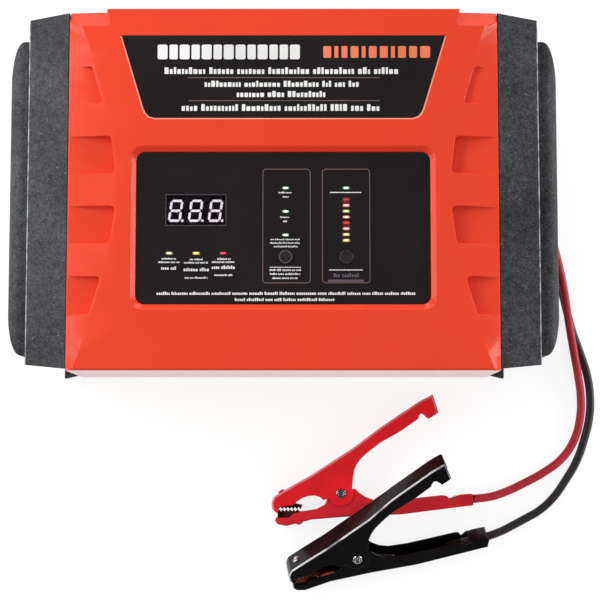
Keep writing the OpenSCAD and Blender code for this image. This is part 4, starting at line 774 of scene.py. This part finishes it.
def blocks(x0, x1, y, h, widths, gap):
    """A row of plain blocks whose widths share the length from x0 to x1."""
    scale = (x1 - x0 - gap * (len(widths) - 1)) / sum(widths)
    rows, x = [], x0
    for width in widths:
        rows.append((x, x + width * scale, y, h))
        x += width * scale + gap
    return rows


def header_outline(grow):
    """The header sheet's outline, with its sides and its foot moved out by grow."""
    low = HEADER_TOP - HEADER_H - grow
    right = [(HEADER_LOW_W + out + grow * share, low + up) for out, share, up in HEADER_CORNER]
    right.append((HEADER_TOP_W + grow, HEADER_TOP))
    return right + [(-x, y) for x, y in right[::-1]]


def make_printing():
    bars("panel_marks", "print_white",
         [block for seed, (x0, x1, y, h) in enumerate(PANEL_PRINT, 40)
          for block in words(x0, x1, y, h * SMALL_PRINT, seed)])
    bars("panel_rules", "print_white",
         [(29.6, 49.3, -2.8, 0.55), (28.9, 50.1, -52.1, 0.5), (-8.4, 11.2, -50.4, 0.4)])
    bars("panel_lines", "print_white",
         words(-79.6, 83.1, -66.9, 1.9, 5) + words(-30.4, 33.2, -70.8, 1.9, 8))
    bars("gauge_caption", "print_purple",
         words(31.8, 48.1, -55.4, 2.6, 31) + [(28.3, 50.8, -59, 1.5)])
    frames("column_frames", "print_brown",
           [(-13.1, -60.5, 17.3, 12.4, 2.4), (24.5, -60.5, 54.9, 12.4, 2.4)], 0.48)
    bars("gauge_windows", "print_red", [(37.5, 42.1, -9.3, 6.6), (37.5, 42.1, -24.1, 6.6)])
    frames("display_frame", "print_purple", [(-74.3, -24, -36, -4, 0.3)], 0.35)
    # the header's sheet, and round it a pink band that is a painted highlight on the recess's edge
    for name, look, grow, z0, z1 in (("header_sheet", "panel_black", 0, -0.02, SHEET_T),
                                     ("header_edge_highlight", "edge_highlight_pink", 0.8, -0.06, 0.03)):
        def build(bm, grow=grow, z0=z0, z1=z1):
            slab(bm, header_outline(grow), HEADER_Z + z0, HEADER_Z + z1)
        made(name, build, "unit", "panel_black", LOOKS[look])
    bars("header_shadow", "seam_shadow",
         [(-HEADER_TOP_W - 0.4, HEADER_TOP_W + 0.4, HEADER_TOP + 0.3, 0.7)], HEADER_Z)
    bars("header_marks", "print_white",
         blocks(-79.9, 10.5, 87, 9.5, WHITE_BLOCKS, 1.2)
         + [block for row in HEADER_PRINT for block in words(*row)], HEADER_Z + SHEET_T)
    bars("header_rating", "print_orange",
         blocks(25.4, 93.3, 87, 7.6, ORANGE_BLOCKS, 2), HEADER_Z + SHEET_T)
    bars("header_rules", "print_brown",
         [(-60.7, 61.4, 70.4, 0.5), (-60, 61.3, 55.6, 0.5)], HEADER_Z + SHEET_T)
    for name, x, body, look in (("mode_button_ring", MODE_X, "mode_button", "print_purple"),
                                ("start_button_ring", GAUGE_X, "start_button", "print_dim")):
        def build(bm, x=x):
            band(bm, circle(x, BUTTON_Y, RING_OUTER), circle(x, BUTTON_Y, RING_INNER),
                 RING_LOW, RING_HIGH)
        made(name, build, body, "button_black", LOOKS[look])


# ---------------------------------------------------------------- clamps
FOLD_R = 1.3                # rounding of the levers' folds
RIM_SHARE = 0.22            # share of it at the sheet's rims
SPRING_GROW = 0.08 * MM     # what the subdivision takes off the wire's radius


def make_clamps():
    for colour in ("red", "black"):
        # the upper levers get a painted highlight along their folds
        bevelled(colour + "_upper_lever", "clamp_" + colour, FOLD_R, 5, rim=RIM_SHARE,
                 painted_highlight="fold_" + colour)
        # the red lower lever takes the darker copy of the red paint, which is painted shade
        bevelled(colour + "_lower_lever", "clamp_" + colour, FOLD_R, 5, rim=RIM_SHARE,
                 look="clamp_red_shaded" if colour == "red" else None)
        for part in ("_upper_jaw", "_lower_jaw"):
            bevelled(colour + part, "jaw_copper", 0.12, 2)
        bevelled(colour + "_pivot_rivet", "rivet_steel", 0.3)
        for part in ("_upper_jaw_rivet", "_lower_jaw_rivet"):
            bevelled(colour + part, "clamp_red" if colour == "red" else "rivet_steel", 0.3)
        coil(colour)


def coil(colour):
    """The spring's faceted solid as a round wire."""
    node = colour + "_spring"
    mesh = NODES[node].data.copy()
    bm = bmesh.new()
    bm.from_mesh(mesh)
    bmesh.ops.remove_doubles(bm, verts=bm.verts, dist=WELD)
    bmesh.ops.join_triangles(bm, faces=bm.faces, angle_face_threshold=math.radians(60),
                             angle_shape_threshold=math.radians(120))
    bmesh.ops.recalc_face_normals(bm, faces=bm.faces)
    bm.to_mesh(mesh)
    bm.free()
    mesh.materials.clear()
    piece = add_piece(node + "_wire", mesh, None, "spring_steel")
    grow = piece.modifiers.new("grow", "DISPLACE")
    grow.strength = SPRING_GROW
    grow.mid_level = 0
    smooth = piece.modifiers.new("round", "SUBSURF")
    smooth.levels = smooth.render_levels = 2
    finished(piece)
    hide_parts(node)
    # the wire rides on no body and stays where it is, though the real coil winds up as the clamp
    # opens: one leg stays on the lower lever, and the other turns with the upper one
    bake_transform(piece)


# ---------------------------------------------------------------- what stays from the frame
# each node and its look
KEPT = {
    "panel_board": "circuit_board", "main_board": "circuit_board", "tact_switches": "switch_black",
    "panel_screws": "screw_steel", "board_screws": "screw_steel", "cover_screws": "screw_steel",
    "cap_screws": "screw_steel", "transformer_core": "core_iron",
    "transformer_winding": "winding_tape", "heat_sink": "sink_aluminium",
    "power_transistors": "transistor_black", "filter_capacitors": "capacitor_sleeve",
    "output_choke": "choke_copper", "output_terminals": "terminal_green",
    "output_wires": "wire_insulation", "fan_frame": "fan_black", "fan_rotor": "fan_black",
    "display_window": "smoked_window", "display_module": "display_black",
    "display_digits": "display_white", "red_lead_lug": "lug_copper",
    "black_lead_lug": "lug_copper"}


def dress_kept():
    for node, look in KEPT.items():
        paint(NODES[node], LOOKS[look])


# ---------------------------------------------------------------- studio
def area(name, at, aim, size, watts):
    data = bpy.data.lights.new(name, "AREA")
    data.shape = "RECTANGLE"
    data.size, data.size_y = size
    data.energy = watts
    light = bpy.data.objects.new(name, data)
    light.location = at
    light.rotation_euler = (Vector(aim) - Vector(at)).to_track_quat("-Z", "Y").to_euler()
    SCENE.collection.objects.link(light)


def ray_share(nodes, links, *rays):
    """1 for the named kinds of ray, and 0 for the light on surfaces."""
    path = nodes.new("ShaderNodeLightPath")
    total = path.outputs[rays[0]]
    for ray in rays[1:]:
        both = nodes.new("ShaderNodeMath")
        both.operation = "MAXIMUM"
        links.new(total, both.inputs[0])
        links.new(path.outputs[ray], both.inputs[1])
        total = both.outputs[0]
    return total


WORLD_LIGHT = 0.56
MIRRORED = (0.0, 0.12, 1.0, 0.06)   # how high a mirrored ray goes, and how bright it is there
FLOOR_SIZE = 6              # half its side, in metres
FLOOR_GREY = 0.27
FLOOR_GLOW = 0.82           # emission that the camera sees, over the floor's lit grey
FLOOR_MIRRORED = 0.75       # emission that a gloss mirrors
# name, place, aim and size in metres, and watts
LIGHTS = (("strip_light", (-0.8, 0.3, 0.7), (0.05, -0.15, 0), (1.4, 0.15), 7.2),
          ("left_light", (-1.25, 0.05, 0.32), (0, 0, 0.05), (1.1, 0.3), 3.5),
          ("right_light", (1.25, 0.05, 0.32), (0, 0, 0.05), (1.1, 0.4), 8),
          ("rear_light", (0.1, 1.3, 0.45), (0, 0, 0.05), (1.6, 0.2), 6.5))


def make_world():
    world = bpy.data.worlds.new("studio")
    world.use_nodes = True
    nodes, links = world.node_tree.nodes, world.node_tree.links
    background = nodes["Background"]
    # what a gloss mirrors: white walls low down, and a dark ceiling
    coords = nodes.new("ShaderNodeTexCoord")
    axes = nodes.new("ShaderNodeSeparateXYZ")
    links.new(coords.outputs["Generated"], axes.inputs["Vector"])
    ceiling = nodes.new("ShaderNodeMapRange")
    for key, value in zip(("From Min", "From Max", "To Min", "To Max"), MIRRORED):
        ceiling.inputs[key].default_value = value
    links.new(axes.outputs["Z"], ceiling.inputs["Value"])
    strength = WORLD_LIGHT
    for rays, value in ((("Is Glossy Ray",), ceiling.outputs["Result"]),
                        (("Is Camera Ray", "Is Transmission Ray"), 1.0)):
        mix = nodes.new("ShaderNodeMix")
        mix.data_type = "FLOAT"
        links.new(ray_share(nodes, links, *rays), mix.inputs["Factor"])
        feed(links, strength, mix.inputs["A"])
        feed(links, value, mix.inputs["B"])
        strength = mix.outputs["Result"]
    links.new(strength, background.inputs["Strength"])
    background.inputs["Color"].default_value = (1, 1, 1, 1)
    SCENE.world = world


def make_floor():
    mesh = bpy.data.meshes.new("floor")
    bm = bmesh.new()
    bmesh.ops.create_grid(bm, x_segments=4, y_segments=4, size=FLOOR_SIZE)
    bm.to_mesh(mesh)
    bm.free()
    floor = bpy.data.objects.new("floor", mesh)
    SCENE.collection.objects.link(floor)
    look = Look("floor_paper", Roughness=0.8, Specular_IOR_Level=0.1)
    look.colour(look.ramp(look.noise(3, 2), (0.3, FLOOR_GREY * 0.98), (0.7, FLOOR_GREY)))
    look.shader.inputs["Emission Color"].default_value = (1, 1, 1, 1)
    glow = look.nodes.new("ShaderNodeMix")
    glow.data_type = "FLOAT"
    glossy = ray_share(look.nodes, look.links, "Is Glossy Ray")
    seen = ray_share(look.nodes, look.links, "Is Camera Ray", "Is Transmission Ray")
    look.link(look.maths("MULTIPLY", glossy, FLOOR_MIRRORED), glow.inputs["A"])
    glow.inputs["B"].default_value = FLOOR_GLOW
    look.link(seen, glow.inputs["Factor"])
    look.link(glow.outputs["Result"], look.shader.inputs["Emission Strength"])
    paint(floor, look)


SCENE.view_settings.view_transform = "Standard"
make_camera()
make_housing()
make_lamps()
make_printing()
make_clamps()
make_lead("red", RED_ROUTE)
make_lead("black", BLACK_ROUTE)
dress_kept()
make_world()
for light in LIGHTS:
    area(*light)
make_floor()
